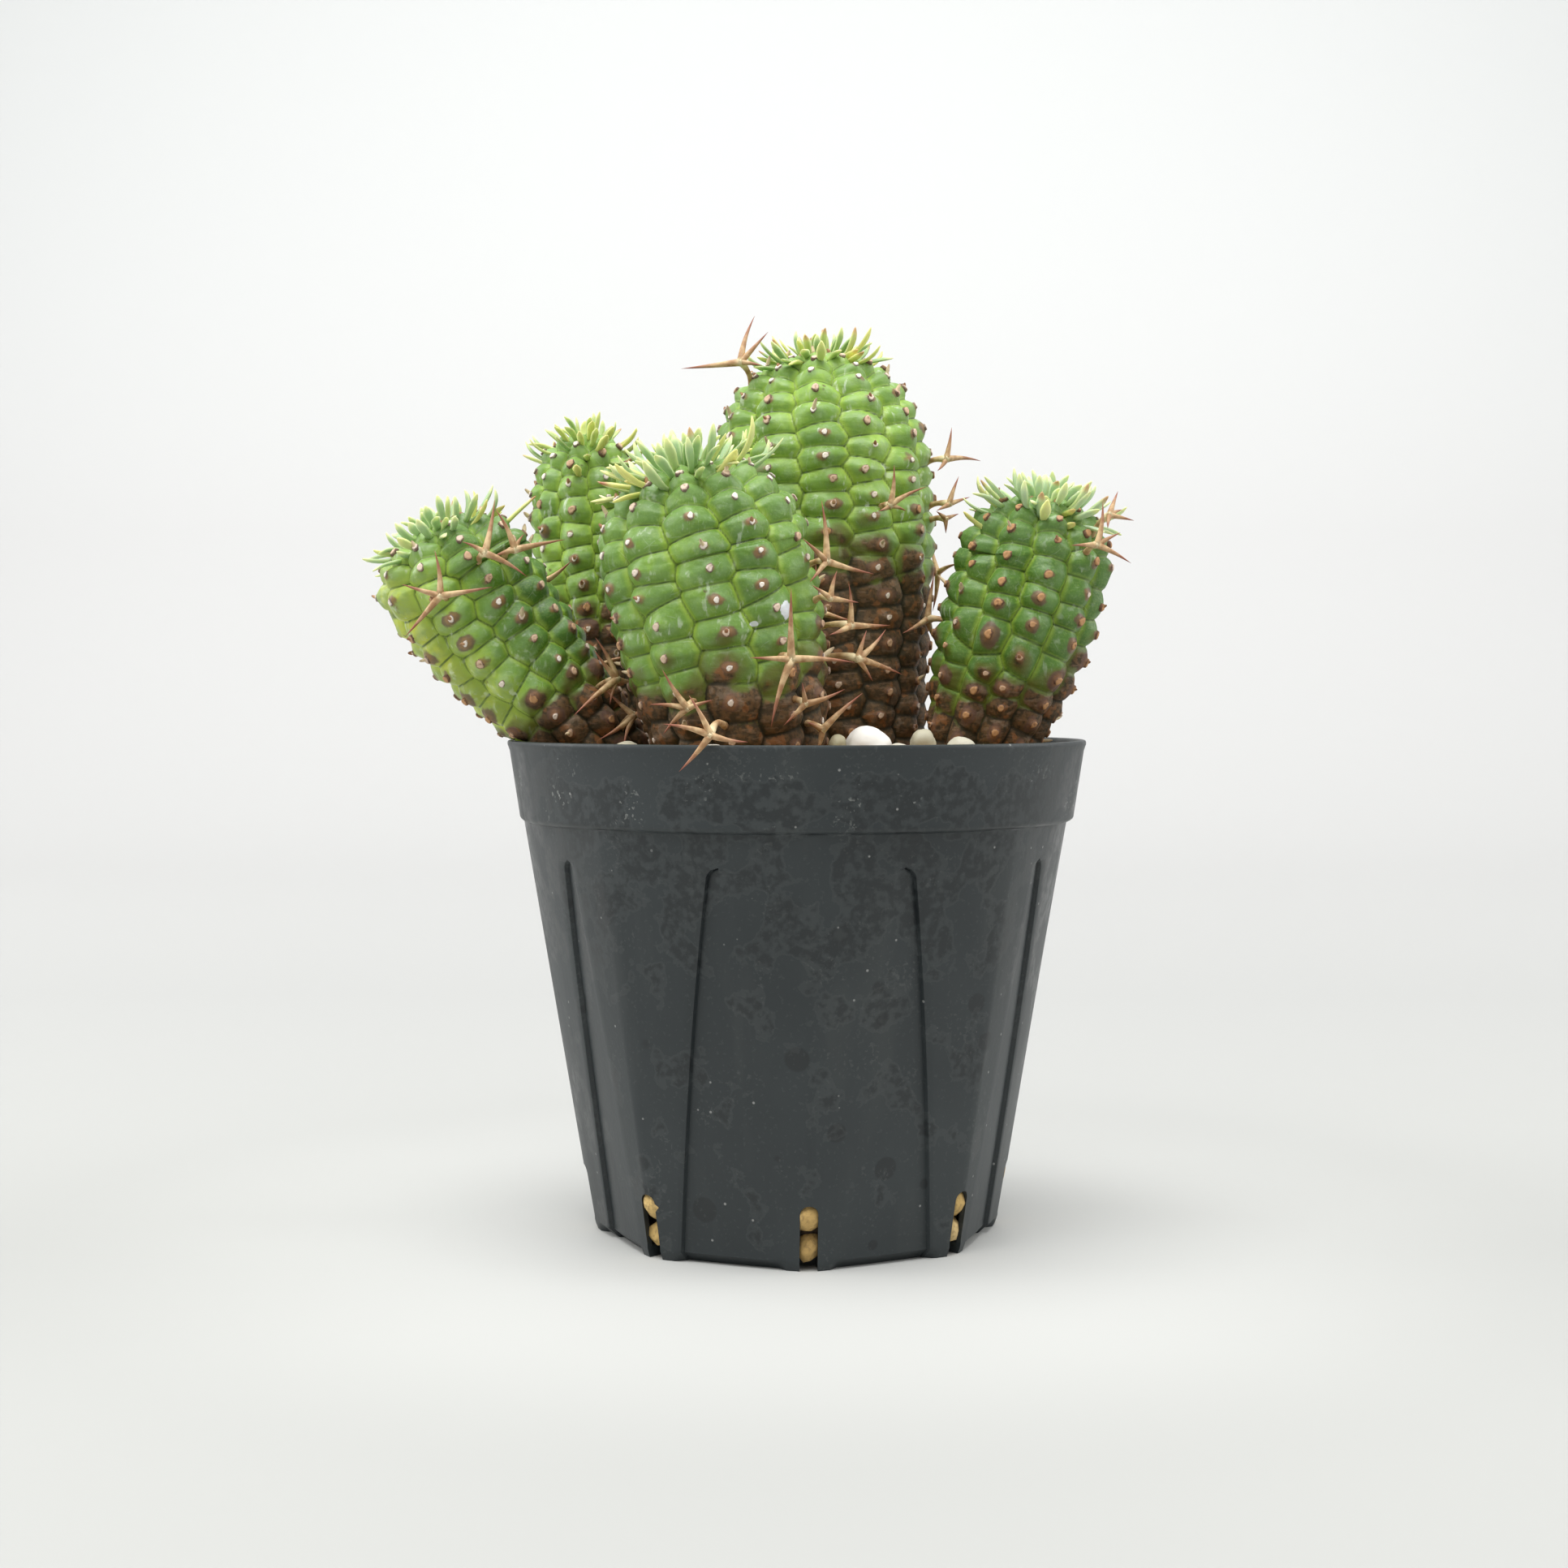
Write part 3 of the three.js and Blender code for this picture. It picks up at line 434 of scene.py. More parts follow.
plastic_color = plastic.paint(
    plastic.mix(haze, (0.0182, 0.0240, 0.0262), (0.0285, 0.0358, 0.0380)),
    (streak, 0.26, (0.060, 0.066, 0.064)),
    (drop, 0.60, (0.009, 0.011, 0.012)),
    (stain, 0.62, (0.0085, 0.0112, 0.0125)),
    (outline, 0.07, (0.16, 0.17, 0.165)),
    (chalk, 0.42, (0.32, 0.33, 0.31)),
    (plastic.blotches(1500.0, 0.62, 0.06, 2.0), 0.035, (0.30, 0.31, 0.30)),
    (dust, 0.45, (0.50, 0.50, 0.48)),
)
plastic_rough = plastic.add_up(0.42, (haze, 0.10), (streak, 0.10), (stain, -0.10))
plastic.close(plastic_color, plastic.noise(900.0, 3.0), 0.12, 0.0002, plastic_rough)
pot.data.materials.append(plastic.material)
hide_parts("pot")
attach(pot, "root")
# ---- Stems ---------------------------------------------------------------
# Five fleshy stems, each with ribs of pillow-like tubercles. A stem is a
# smooth axis through stations [x, y, z, radius over the tubercles] and a dome;
# rows of tubercles are counted down from the crown, ribs round from the turn.
STEMS = {
    "front": dict(
        node="head_front",
        stations=[(-8.0, -20.2, 80, 11.5), (-9.4, -21, 89.3, 15.0), (-11.2, -22, 98.5, 16.8),
                  (-12.9, -22, 107, 18.1), (-14.6, -22, 115, 18.7), (-16.0, -22, 121, 18.6)],
        crown=(-19.6, -22.5, 137.5), ribs=11, pitch=5.3, turn=-1, stagger=7 / 11, phase=0.7,
        groove=1.6, cork_top=100.5, cork_lean=0.15, cork_spots=0.16,
        hue=0.45, scar_age=0.0, cork_wander=1.5, seed=1),
    "tall": dict(
        node="head_tall",
        stations=[(9.6, 18, 80, 12.5), (9.0, 18, 89, 15.6), (8.2, 18, 99, 16.7),
                  (7.2, 18, 113, 18.4), (6.0, 18, 125, 20.0), (4.9, 18, 138, 20.6)],
        crown=(3.5, 18, 162.0), ribs=12, pitch=4.6, turn=-2, stagger=7 / 12, phase=0.15,
        groove=1.4, cork_top=125.0, cork_lean=-0.35, cork_spots=0.22,
        hue=0.8, scar_age=0.0, cork_wander=5.0, seed=2),
    "left": dict(
        node="head_left",
        stations=[(-29.6, -6.4, 80.5, 6.8), (-32.6, -7, 85, 7.8), (-37.8, -8, 91, 9.4),
                  (-46.3, -8.7, 100, 11.9), (-54.6, -9.4, 110, 13.6), (-60.8, -10.2, 118.5, 14.3)],
        crown=(-65.4, -11.0, 127.6), ribs=9, pitch=4.8, turn=-14, stagger=4 / 9, phase=0.0,
        groove=1.45, cork_top=93.0, cork_lean=0.85, cork_spots=0.55,
        hue=0.9, scar_age=0.20, cork_wander=3.0, seed=3),
    "back_left": dict(
        node="head_back_left",
        stations=[(-32.0, 20, 80, 6.4), (-34.0, 20, 89, 7.8), (-37.3, 20.5, 100, 9.2),
                  (-39.0, 21, 111, 9.9), (-40.0, 21, 123, 10.4), (-40.4, 21, 134, 10.3)],
        crown=(-39.9, 21, 147.3), ribs=10, pitch=4.4, turn=-8, stagger=4 / 10, phase=0.3,
        groove=1.1, cork_top=115.0, cork_lean=0.5, cork_spots=0.48,
        hue=0.9, scar_age=0.10, cork_wander=4.0, seed=4),
    "right": dict(
        node="head_right",
        stations=[(31.0, 0.8, 80, 8.2), (33.4, 0, 88.5, 10.2), (36.2, 0, 97.5, 12.2),
                  (38.8, -1, 106, 13.5), (41.2, -1, 114, 14.1), (43.2, -1, 121, 14.0)],
        crown=(45.4, -1, 133.5), ribs=11, pitch=5.0, turn=8, stagger=3 / 11, phase=0.1,
        groove=1.5, cork_top=101.0, cork_lean=0.10, cork_spots=0.48,
        hue=0.05, scar_age=0.90, cork_wander=3.0, seed=5),
}
DOME_POWER = 0.8
CROWN_PITCH = 0.7  # spacing of the rows at the top of the crown, as a share of the pitch
RIB_WANDER, ROW_WANDER = 0.20, 0.28  # how far a tubercle lies off its place, in ribs and rows
BURIED_BELOW, SCARS_ABOVE = 86.5, 87.0
ACROSS_SCALE = 1.5  # how many rows a rib's width counts for when the nearest scar is sought


def smooth_curve(stations, steps):
    """A curve through all stations (Catmull-Rom), sampled steps times between each two."""
    stations = np.array(stations, float)
    padded = np.vstack([2 * stations[0] - stations[1], stations, 2 * stations[-1] - stations[-2]])
    spans = len(stations) - 1
    way = np.linspace(0, spans, spans * steps + 1)
    span = np.minimum(way.astype(int), spans - 1)
    t = (way - span)[:, None]
    a, b, c, d = (padded[span + k] for k in range(4))
    return 0.5 * (2 * b + (c - a) * t + (2 * a - 5 * b + 4 * c - d) * t ** 2
                  + (3 * b - a - 3 * c + d) * t ** 3)


def unit(vectors):
    return vectors / (np.linalg.norm(vectors, axis=-1, keepdims=True) + 1e-12)


def stem_profile(stem):
    """Samples of the axis, radius, directions, surface slope, length and row number of a stem,
    in order from the crown (row 0) down to the buried end."""
    body = smooth_curve(stem["stations"], 20)
    bend = np.linspace(0, math.pi / 2, 81)[1:]
    shoulder = body[-1]
    dome_centre = shoulder[:3] + (np.array(stem["crown"]) - shoulder[:3]) * np.sin(bend)[:, None]
    dome_radius = shoulder[3] * np.clip(np.cos(bend), 0, 1) ** DOME_POWER
    centre = np.vstack([body[:, :3], dome_centre])
    radius = np.concatenate([body[:, 3], dome_radius])
    run = np.linalg.norm(np.diff(centre, axis=0), axis=1)
    length = np.hypot(run, np.diff(radius))
    share = np.where(np.arange(len(radius)) < len(body), 1.0, radius / shoulder[3])
    spacing = stem["pitch"] * (CROWN_PITCH + (1 - CROWN_PITCH) * share)
    rows = np.concatenate([[0], np.cumsum((length / spacing[1:])[::-1])])
    along = np.gradient(centre, axis=0)
    axis = unit(along)
    front = np.array([0, -1.0, 0])
    front = unit(front - (axis @ front)[:, None] * axis)
    slope = unit(np.stack([np.linalg.norm(along, axis=1), -np.gradient(radius)], -1))
    flip = slice(None, None, -1)
    return dict(row=rows, centre=centre[flip], radius=radius[flip], axis=axis[flip], front=front[flip],
                right=np.cross(axis, front)[flip], slope=slope[flip],
                surface=np.concatenate([[0], np.cumsum(length[::-1])]))


def on_stem(profile, row, angle):
    """Point, outward normal, axis, radius on a stem at rows and angles in degrees from the front."""
    def look_up(key):
        values = profile[key]
        flat = values.reshape(len(values), -1)
        found = [np.interp(row, profile["row"], flat[:, k]) for k in range(flat.shape[1])]
        return np.stack(found, -1) if values.ndim > 1 else found[0]
    turned = np.radians(angle)[..., None]
    centre, axis = look_up("centre"), unit(look_up("axis"))
    radius, slope = look_up("radius"), look_up("slope")
    away = np.cos(turned) * unit(look_up("front")) + np.sin(turned) * unit(look_up("right"))
    outward = unit(away * slope[..., :1] + axis * slope[..., 1:])
    return centre + away * radius[..., None], outward, axis, radius


def hashed(*keys):
    """A repeatable draw between 0 and 1 for whole-number arrays."""
    mixed = sum(np.asarray(key, float) * weight for key, weight in zip(keys, (127.1, 311.7, 74.7, 269.5)))
    value = np.sin(mixed + 3.7) * 43758.5453
    return value - np.floor(value)


def tubercle_centre(stem, rib, index):
    """Rib position (in ribs) and row of a tubercle's scar, with a little natural wander."""
    wrapped = np.mod(rib, stem["ribs"])
    shift = np.mod(stem["phase"] + wrapped * stem["stagger"], 1)
    shift = np.where(shift > 0.5, shift - 1, shift)
    sway = 0.16 * np.sin(0.55 * index + 6.28 * hashed(wrapped, stem["seed"])) * np.clip(index / 8, 0, 1)
    across = rib + sway + RIB_WANDER * (hashed(wrapped, index, stem["seed"]) - 0.5)
    return across, index + shift + ROW_WANDER * (hashed(index, wrapped, stem["seed"] + 9) - 0.5)


def tubercle_field(stem, row, angle):
    """For every surface point: distance to its tubercle's scar, distance to the nearest groove
    between rows and between ribs (all in rows), and the tubercle's own draw. Tubercles are the
    cells nearest to each scar, with distances across the rib counted shorter."""
    rib_width = 360 / stem["ribs"]
    place = (angle - stem["turn"]) / rib_width
    nearest_rib = np.round(place)
    across, down, same = [], [], []
    for rib_step in (-1, 0, 1):
        rib = nearest_rib + rib_step
        _, zero = tubercle_centre(stem, rib, np.zeros_like(rib))
        first = np.round(row - zero)
        for row_step in (-1, 0, 1):
            x, y = tubercle_centre(stem, rib, first + row_step)
            across.append((x - place) * ACROSS_SCALE)
            down.append(y - row)
            same.append((np.mod(rib, stem["ribs"]), first + row_step, x))
    across, down = np.array(across), np.array(down)
    apart = across ** 2 + down ** 2
    best = np.argmin(apart, 0)
    def pick(stack):
        return np.take_along_axis(stack, best[None], 0)[0]
    home_x, home_y, home = pick(across), pick(down), pick(apart)
    ribs = np.array([s[0] for s in same])
    rows = np.array([s[1] for s in same])
    home_rib, home_row = pick(ribs), pick(rows)
    reach = np.sqrt((across - home_x) ** 2 + (down - home_y) ** 2) + 1e-9
    edge = (apart - home) / (2 * reach)
    own = (ribs == home_rib) & (rows == home_row)
    same_rib = (ribs == home_rib) & ~own
    row_edge = np.where(same_rib, edge, 9.0).min(0)
    rib_edge = np.where((ribs != home_rib), edge, 9.0).min(0)
    return dict(scar=np.sqrt(home), row_edge=row_edge, rib_edge=rib_edge, across=home_x, down=home_y,
                draw=hashed(home_rib, home_row, stem["seed"] + 3), rib=home_rib, index=home_row)


def wave_noise(points, scale, seed):
    """Soft noise between -1 and 1 from a few crossed sine waves at a scale in millimetres."""
    rng = np.random.default_rng(seed)
    total = np.zeros(points.shape[:-1])
    for _ in range(7):
        direction = rng.normal(size=3)
        direction *= rng.uniform(0.7, 1.5) / (np.linalg.norm(direction) * scale)
        total += np.sin(points @ direction * 2 * math.pi + rng.uniform(0, 6.28))
    return total / 3.5


SKIN_CELLS = 95000


def skin_point(stem, profile, row, angle):
    """Points of the real skin: the smooth stem, sunk along the grooves and swollen at each scar.
    Relief = soft swelling of each tubercle + low cone at its scar - valleys between ribs and
    rows - a fine crease at every groove. Returns points, outward normals, size and field."""
    point, outward, _, radius = on_stem(profile, row, angle)
    field = tubercle_field(stem, row, angle)
    size = np.clip(radius / (0.62 * profile["radius"].max()), 0.12, 1)
    pitch = stem["pitch"] * size

    def bell(away, reach):
        return np.exp(-(away / (reach * size)) ** 2)

    row_edge, rib_edge, scar = field["row_edge"] * pitch, field["rib_edge"] * pitch, field["scar"] * pitch
    deep = stem["groove"] * size
    pillow = 0.40 + 0.60 * np.clip((point[..., 2] - stem["cork_top"]) / 12 + 0.5, 0, 1)
    upper = np.clip(1.25 - row / 9, 0, 1)
    sink = deep * (1 + 0.45 * upper) * (0.60 * np.exp(-rib_edge / (0.75 * size)) + 0.45 * bell(rib_edge, 2.6))
    sink += deep * pillow * (0.40 * np.exp(-row_edge / (0.45 * size)) + 0.12 * bell(row_edge, 1.6))
    swell = 0.34 * size * bell(scar, 0.9) + 0.42 * size * pillow * bell(scar, 2.4)
    swell += 0.12 * wave_noise(point, 6.0, stem["seed"]) + 0.035 * wave_noise(point, 1.5, stem["seed"] + 20)
    swell += 0.30 * size * (field["draw"] - 0.5) * np.clip(np.minimum(row_edge, rib_edge) / 1.2, 0, 1)
    buried = np.clip((BURIED_BELOW - point[..., 2]) / 3.0, 0, 1)
    relief = (swell - sink) * (1 - buried) - 0.8 * buried
    field.update(row_edge=row_edge, rib_edge=rib_edge, scar=scar)
    return point + outward * relief[..., None], outward, size, field
def skin_surface(stem, profile):
    """The skin as a grid of rings from the crown down, with its values for the material."""
    total, girth = profile["surface"][-1], 2 * math.pi * profile["radius"].max()
    spacing = max(0.30, math.sqrt(total * girth / SKIN_CELLS))
    lengths = np.linspace(0.15, total - 0.01, int(total / spacing))
    row = np.interp(lengths, profile["surface"], profile["row"])
    columns = int(girth / spacing)
    angle = np.linspace(0, 360, columns, endpoint=False)
    row, angle = np.meshgrid(row, angle, indexing="ij")
    point, _, _, field = skin_point(stem, profile, row, angle)
    return point, dict(groove=np.minimum(field["rib_edge"], field["row_edge"]), scar=field["scar"],
                       draw=field["draw"], crown=np.clip(1 - row / 5.0, 0, 1), rib_groove=field["rib_edge"],
                       row_groove=field["row_edge"])


def cork_cover(stem, point, values):
    """How corky the skin is, 0 to 1: it rises under a height that wanders round the stem, starts
    round the scars, and reaches the grooves last."""
    edge = stem["cork_top"] + stem["cork_wander"] * wave_noise(point * [1, 1, 0.35], 17.0, stem["seed"] + 40)
    edge = edge + 2.6 * wave_noise(point, 5.5, stem["seed"] + 50)
    edge = edge + stem["cork_lean"] * (point[..., 0] - stem["stations"][3][0])
    cover = (edge - point[..., 2]) / 13.0 + 0.42 + 0.25 * (values["draw"] - 0.5)
    near_scar, in_groove = np.exp(-(values["scar"] / 1.9) ** 2), np.exp(-(values["groove"] / 0.8) ** 2)
    return np.clip(cover + stem["cork_spots"] * (near_scar - 0.7 * in_groove), 0, 1)


# Dried white splashes on the front stem: middle and reach each way.
LIME_SPLASHES = [((-1.9, -35.0, 111.9), (0.9, 5.0, 2.0)), ((-7.1, -38.5, 109.5), (0.8, 5.0, 0.5))]


def lime_splash(name, point):
    """A falloff from 1 at the middle of each splash."""
    falloff = np.zeros(point.shape[:2])
    for middle, reach in LIME_SPLASHES if name == "front" else ():
        away = np.linalg.norm((point - middle) / reach, axis=-1)
        falloff = np.maximum(falloff, np.clip(1.0 - 0.5 * away, 0, 1))
    return falloff


def closed_skin(name, point, attributes):
    """Puts a grid of rings into a closed mesh, with a pole at each end."""
    points = np.concatenate([point.reshape(-1, 3), [point[0].mean(0), point[-1].mean(0)]])
    faces = [face[::-1] for face in grid_faces(*point.shape[:2], closed=True)]
    values = {key: np.append(grid.ravel(), [grid[0].mean(), grid[-1].mean()])
              for key, grid in attributes.items()}
    return put_mesh(name, points, faces, values)


skin = Finish("waxy_green_skin", 0.5, {"Specular IOR Level": 0.40, "Subsurface Weight": 0.10,
              "Subsurface Scale": 0.002, "Subsurface Radius": (0.6, 1.0, 0.25)})
groove, rib_groove, row_groove = skin.value("groove"), skin.value("rib_groove"), skin.value("row_groove")
scar, draw, cork, hue = skin.value("scar"), skin.value("draw"), skin.value("cork"), skin.value("hue")
mottle, patchy = skin.blotches(260.0, 0.40, 0.30, 5.0), skin.blotches(90.0, 0.38, 0.30, 3.0)
grain, fine_tone = skin.noise(2600.0, 3.0), skin.noise(480.0, 5.0)
deep_green = skin.mix(patchy, (0.038, 0.112, 0.003), (0.068, 0.175, 0.006))
light_green = skin.mix(patchy, (0.250, 0.430, 0.055), (0.370, 0.575, 0.085))
# Tubercle centres, away from the grooves, are lightened with a whitish green: partly waxy bloom, partly
# painted sheen on the domes.
face = skin.times(skin.fade(groove, 0.4, 1.8), skin.fade(fine_tone, 0.35, 0.62))
glow = skin.math("MAXIMUM", skin.fade(groove, 0.55, 0.15, 0.0, 0.26),
                 skin.fade(rib_groove, 0.95, 0.10, 0.0, 0.52))
# Painted shade: dark lines along the grooves between ribs and rows, where the creases fall into shade.
line = skin.math("MAXIMUM", skin.fade(row_groove, 0.30, 0.06),
                 skin.fade(rib_groove, 0.24, 0.05, 0.0, 0.65))
green = skin.paint(
    skin.mix(hue, deep_green, light_green),
    (skin.value("pale"), 0.85, (0.560, 0.610, 0.060)),
    # partly waxy bloom, partly painted sheen on the tubercle domes
    (face, skin.add_up(0.14, (hue, 0.34)), (0.300, 0.430, 0.260)),
    (skin.fade(grain, 0.45, 0.75), 0.30, (0.380, 0.520, 0.140)),
    (draw, 0.24, (0.095, 0.210, 0.050)),
    (skin.fade(mottle, 0.75, 0.15), 0.35, (0.110, 0.230, 0.045)),
    (glow, 1.0, (0.430, 0.590, 0.075)),
    # painted crease shade: dark lines in the grooves
    (line, 0.80, (0.040, 0.085, 0.012)),
    (skin.value("crown"), 0.45, (0.330, 0.500, 0.190)),
)
cracks = skin.node("TexVoronoi", {"Vector": skin.warp(Rotation=(0.5, 0.7, 0.3)), "Scale": 330.0},
                   feature="DISTANCE_TO_EDGE").outputs["Distance"]
scratch = skin.times(skin.fade(cracks, 0.035, 0.0), skin.blotches(420.0, 0.56, 0.06))
scuff_place = skin.warp(Rotation=(0.2, 0.9, 0.0), Scale=(1, 1, 0.28))
scuff = skin.times(skin.blotches(900.0, 0.57, 0.10, 5.0, scuff_place), skin.blotches(140.0, 0.50, 0.12))
bloom = skin.times(skin.blotches(520.0, 0.56, 0.14, 6.0), skin.blotches(75.0, 0.46, 0.16))
bloom = skin.times(skin.math("MAXIMUM", bloom, scuff), skin.add_up(0.30, (hue, 0.30)))
marks = skin.math("MAXIMUM", skin.times(scratch, 0.15), bloom)
fleck = skin.times(skin.fade(skin.cells(300.0)[0], 0.16, 0.06), skin.blotches(130.0, 0.60, 0.03))
cork_noise, cork_fine = skin.noise(330.0, 6.0), skin.noise(1100.0, 5.0)
cork_mask = skin.fade(skin.add_up(-0.40, (cork, 1.0), (cork_noise, 0.8)), 0.40, 0.66)
wrinkles = skin.noise(420.0, 5.0, skin.warp(Scale=(1, 1, 4.0)))
cork_tone = skin.paint(
    skin.mix(skin.fade(cork_fine, 0.38, 0.62), (0.040, 0.021, 0.009), (0.135, 0.066, 0.026)),
    (hue, 0.24, (0.160, 0.088, 0.054)),
    # painted shade along the cork's grooves
    (skin.fade(groove, 0.8, 0.1), 0.55, (0.020, 0.013, 0.006)),
    (skin.blotches(420.0, 0.57, 0.06, 5.0), 0.60, (0.31, 0.115, 0.035)),
    (skin.fade(wrinkles, 0.56, 0.63), 0.38, (0.27, 0.165, 0.105)),
    (skin.blotches(240.0, 0.60, 0.05, 6.0), 0.35, (0.33, 0.23, 0.16)),
    # painted shade, darkest in the middle of the grooves
    (skin.fade(groove, 0.45, 0.08), 0.85, (0.016, 0.010, 0.006)),
)
halo_gap = skin.math("SUBTRACT", skin.add_up(-1.5, (scar, 1.0), (cork_noise, 3.0)), skin.value("halo"))
halo_tone = skin.paint(skin.mix(cork_fine, (0.060, 0.030, 0.020), (0.190, 0.105, 0.070)),
                       (skin.fade(skin.add_up(scar, (cork_fine, 1.6)), 2.3, 1.2), 0.65, (0.36, 0.175, 0.075)))
lime = skin.add_up(-0.45, (skin.value("lime"), 1.0), (cork_noise, 0.9))
skin_color = skin.paint(
    green,
    (marks, 1.0, (0.66, 0.74, 0.60)),
    (fleck, 0.75, (0.090, 0.036, 0.018)),
    (skin.fade(cork, 0.06, 0.45), 0.80, (0.120, 0.125, 0.020)),
    (cork_mask, 0.93, cork_tone),
    (skin.fade(halo_gap, 0.30, -0.25), 0.88, halo_tone),
    (skin.fade(lime, 0.47, 0.55), 1.0, (0.78, 0.82, 0.86)),
)
cork_relief = skin.add_up(0.25, (cork_mask, 1.0))
skin_height = skin.add_up(0.0, (cork_fine, cork_relief), (wrinkles, 0.55), (grain, 0.30))
skin.close(skin_color, skin_height, 0.42, 0.0003, skin.add_up(0.38, (cork_mask, 0.28), (mottle, 0.10)))

# The left stem turns pale yellow-green towards its lit outer side and deep green below.
LEFT_STEM_LIT = np.array([-0.77, 0.0, -0.64])
profiles = {}
for name, stem in STEMS.items():
    profiles[name] = stem_profile(stem)
    point, values = skin_surface(stem, profiles[name])
    lower = np.clip((stem["cork_top"] + 22 - point[..., 2]) / 20, 0, 1)
    away = (point - stem["stations"][3][:3]) @ LEFT_STEM_LIT
    values["cork"] = cork_cover(stem, point, values)
    values["hue"] = np.full(point.shape[:2], stem["hue"]) + 0.15 * wave_noise(point, 30.0, stem["seed"])
    values["hue"] -= 0.85 * np.clip((2.5 - away) / 8, 0, 1) * (name == "left")
    values["halo"] = ((0.30 + 0.65 * values["draw"]) * (1 - values["crown"])
                      + 2.4 * stem["cork_spots"] * lower * values["draw"])
    values["pale"] = np.clip((away - 1) / 9, 0, 1) * (name == "left")
    values["lime"] = lime_splash(name, point)
    piece = closed_skin("skin_" + name, point, values)
    piece.data.materials.append(skin.material)
    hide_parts(stem["node"])
    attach(piece, "root")
# ---- Spots on a stem -----------------------------------------------------
# Each tubercle carries one scar where a flower stalk or a spine once stood:
# a cream corky disc in a brown halo, sometimes with a dried stub left on it.
def stem_spot(name, rib, row):
    """Point, outward, upward (along the skin to the crown) and sideways directions on a stem."""
    stem, profile = STEMS[name], profiles[name]
    row = np.atleast_1d(np.asarray(row, float))
    angle = stem["turn"] + np.atleast_1d(np.asarray(rib, float)) * 360 / stem["ribs"]
    point, outward, size, _ = skin_point(stem, profile, row, angle)
    above, _, _, _ = on_stem(profile, np.maximum(row - 0.4, 0), angle)
    below, _, _, _ = on_stem(profile, row + 0.4, angle)
    up = above - below
    up = unit(up - (up * outward).sum(-1, keepdims=True) * outward)
    return point, outward, up, np.cross(up, outward), size


def all_scars(name, first_row):
    """Rib and row of every scar of a stem from first_row down to the soil."""
    stem, profile = STEMS[name], profiles[name]
    rib, index = np.meshgrid(np.arange(stem["ribs"]), np.arange(0, int(profile["row"][-1])), indexing="ij")
    across, row = tubercle_centre(stem, rib.ravel(), index.ravel())
    point = stem_spot(name, across, np.clip(row, 0, None))[0]
    keep = (row > first_row) & (point[:, 2] > SCARS_ABOVE)
    return across[keep], row[keep]


def copy_faces(faces, copies, points_each):
    """Faces of several copies of a shape, whose points follow each other."""
    steps = range(0, copies * points_each, points_each)
    return [[i + step for i in face] for step in steps for face in faces]


def repeat_shape(shape, faces, place, right, up, outward, size):
    """Copies of one shape: every copy's points = place + size * (x right + y up + z outward)."""
    points = (place[:, None] + size[:, None, None] * (shape[None, :, :1] * right[:, None]
              + shape[None, :, 1:2] * up[:, None] + shape[None, :, 2:] * outward[:, None]))
    return points.reshape(-1, 3), copy_faces(faces, len(place), len(shape))


# Rings of a scar from its dimple outwards: radius, height, and share of the way to the rim.
SCAR_RINGS = [(0.20, 0.20, 0.33), (0.36, 0.20, 0.6), (0.50, 0.10, 0.84), (0.60, -0.35, 1.0)]


def scar_disc():
    """A low oval button, taller than wide: rings of nine points round a dimple, with an uneven rim."""
    turn = np.linspace(0, 2 * math.pi, 9, endpoint=False)
    uneven = 1 + 0.16 * np.sin(2 * turn + 0.7) + 0.10 * np.sin(3 * turn)
    points = [np.stack([r * uneven * np.cos(turn), 1.25 * r * uneven * np.sin(turn), np.full(9, h)], -1)
              for r, h, _ in SCAR_RINGS]
    faces = [(j, (j + 1) % 9, 36) for j in range(9)]
    faces += [(9 * i + (j + 1) % 9, 9 * i + j, 9 * i + 9 + j, 9 * i + 9 + (j + 1) % 9)
              for i in range(3) for j in range(9)]
    faces.append(tuple(27 + j for j in reversed(range(9))))
    rim = np.append(np.repeat([share for _, _, share in SCAR_RINGS], 9), 0.0)
    return np.concatenate([*points, [[0, 0, 0.13]]]), faces, rim


scar_finish = Finish("cream_scar_cork", 0.8)
rim, age = scar_finish.value("rim"), scar_finish.value("age")
scar_noise = scar_finish.noise(1300.0, 3.0)
edge = scar_finish.fade(scar_finish.add_up(rim, (scar_noise, 0.6)), 0.98, 1.22)
cream = scar_finish.paint(
    scar_finish.mix(age, (0.86, 0.78, 0.68), (0.50, 0.27, 0.12)),
    (scar_finish.fade(scar_noise, 0.55, 0.68), scar_finish.add_up(0.25, (age, 0.6)), (0.26, 0.12, 0.06)),
    (edge, 0.85, (0.105, 0.055, 0.038)),
)
scar_finish.close(cream, scar_noise, 0.5, 0.0002)

for name, stem in STEMS.items():
    across, row = all_scars(name, 2.1)
    point, outward, up, right, size = stem_spot(name, across, row)
    draw = hashed(across * 7, row * 13, stem["seed"])
    shape, faces, radius = scar_disc()
    roll = ((hashed(row * 19, across * 5, stem["seed"]) - 0.5) * 1.2)[:, None]
    right, up = np.cos(roll) * right + np.sin(roll) * up, np.cos(roll) * up - np.sin(roll) * right
    points, faces = repeat_shape(shape, faces, point - 0.05 * outward, right, up, outward,
                                 1.12 * (0.75 + 0.5 * draw) * (0.50 + 0.50 * size))
    ages = np.clip((draw - 0.45) * 1.5 + stem["scar_age"] + np.clip((row - 6.5) / 10, 0, 0.5), 0, 1)
    scars = put_mesh("scars_" + name, points, faces, {
        "rim": np.tile(radius, len(point)), "age": np.repeat(ages, len(shape))})
    scars.data.materials.append(scar_finish.material)
    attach(scars, "root")
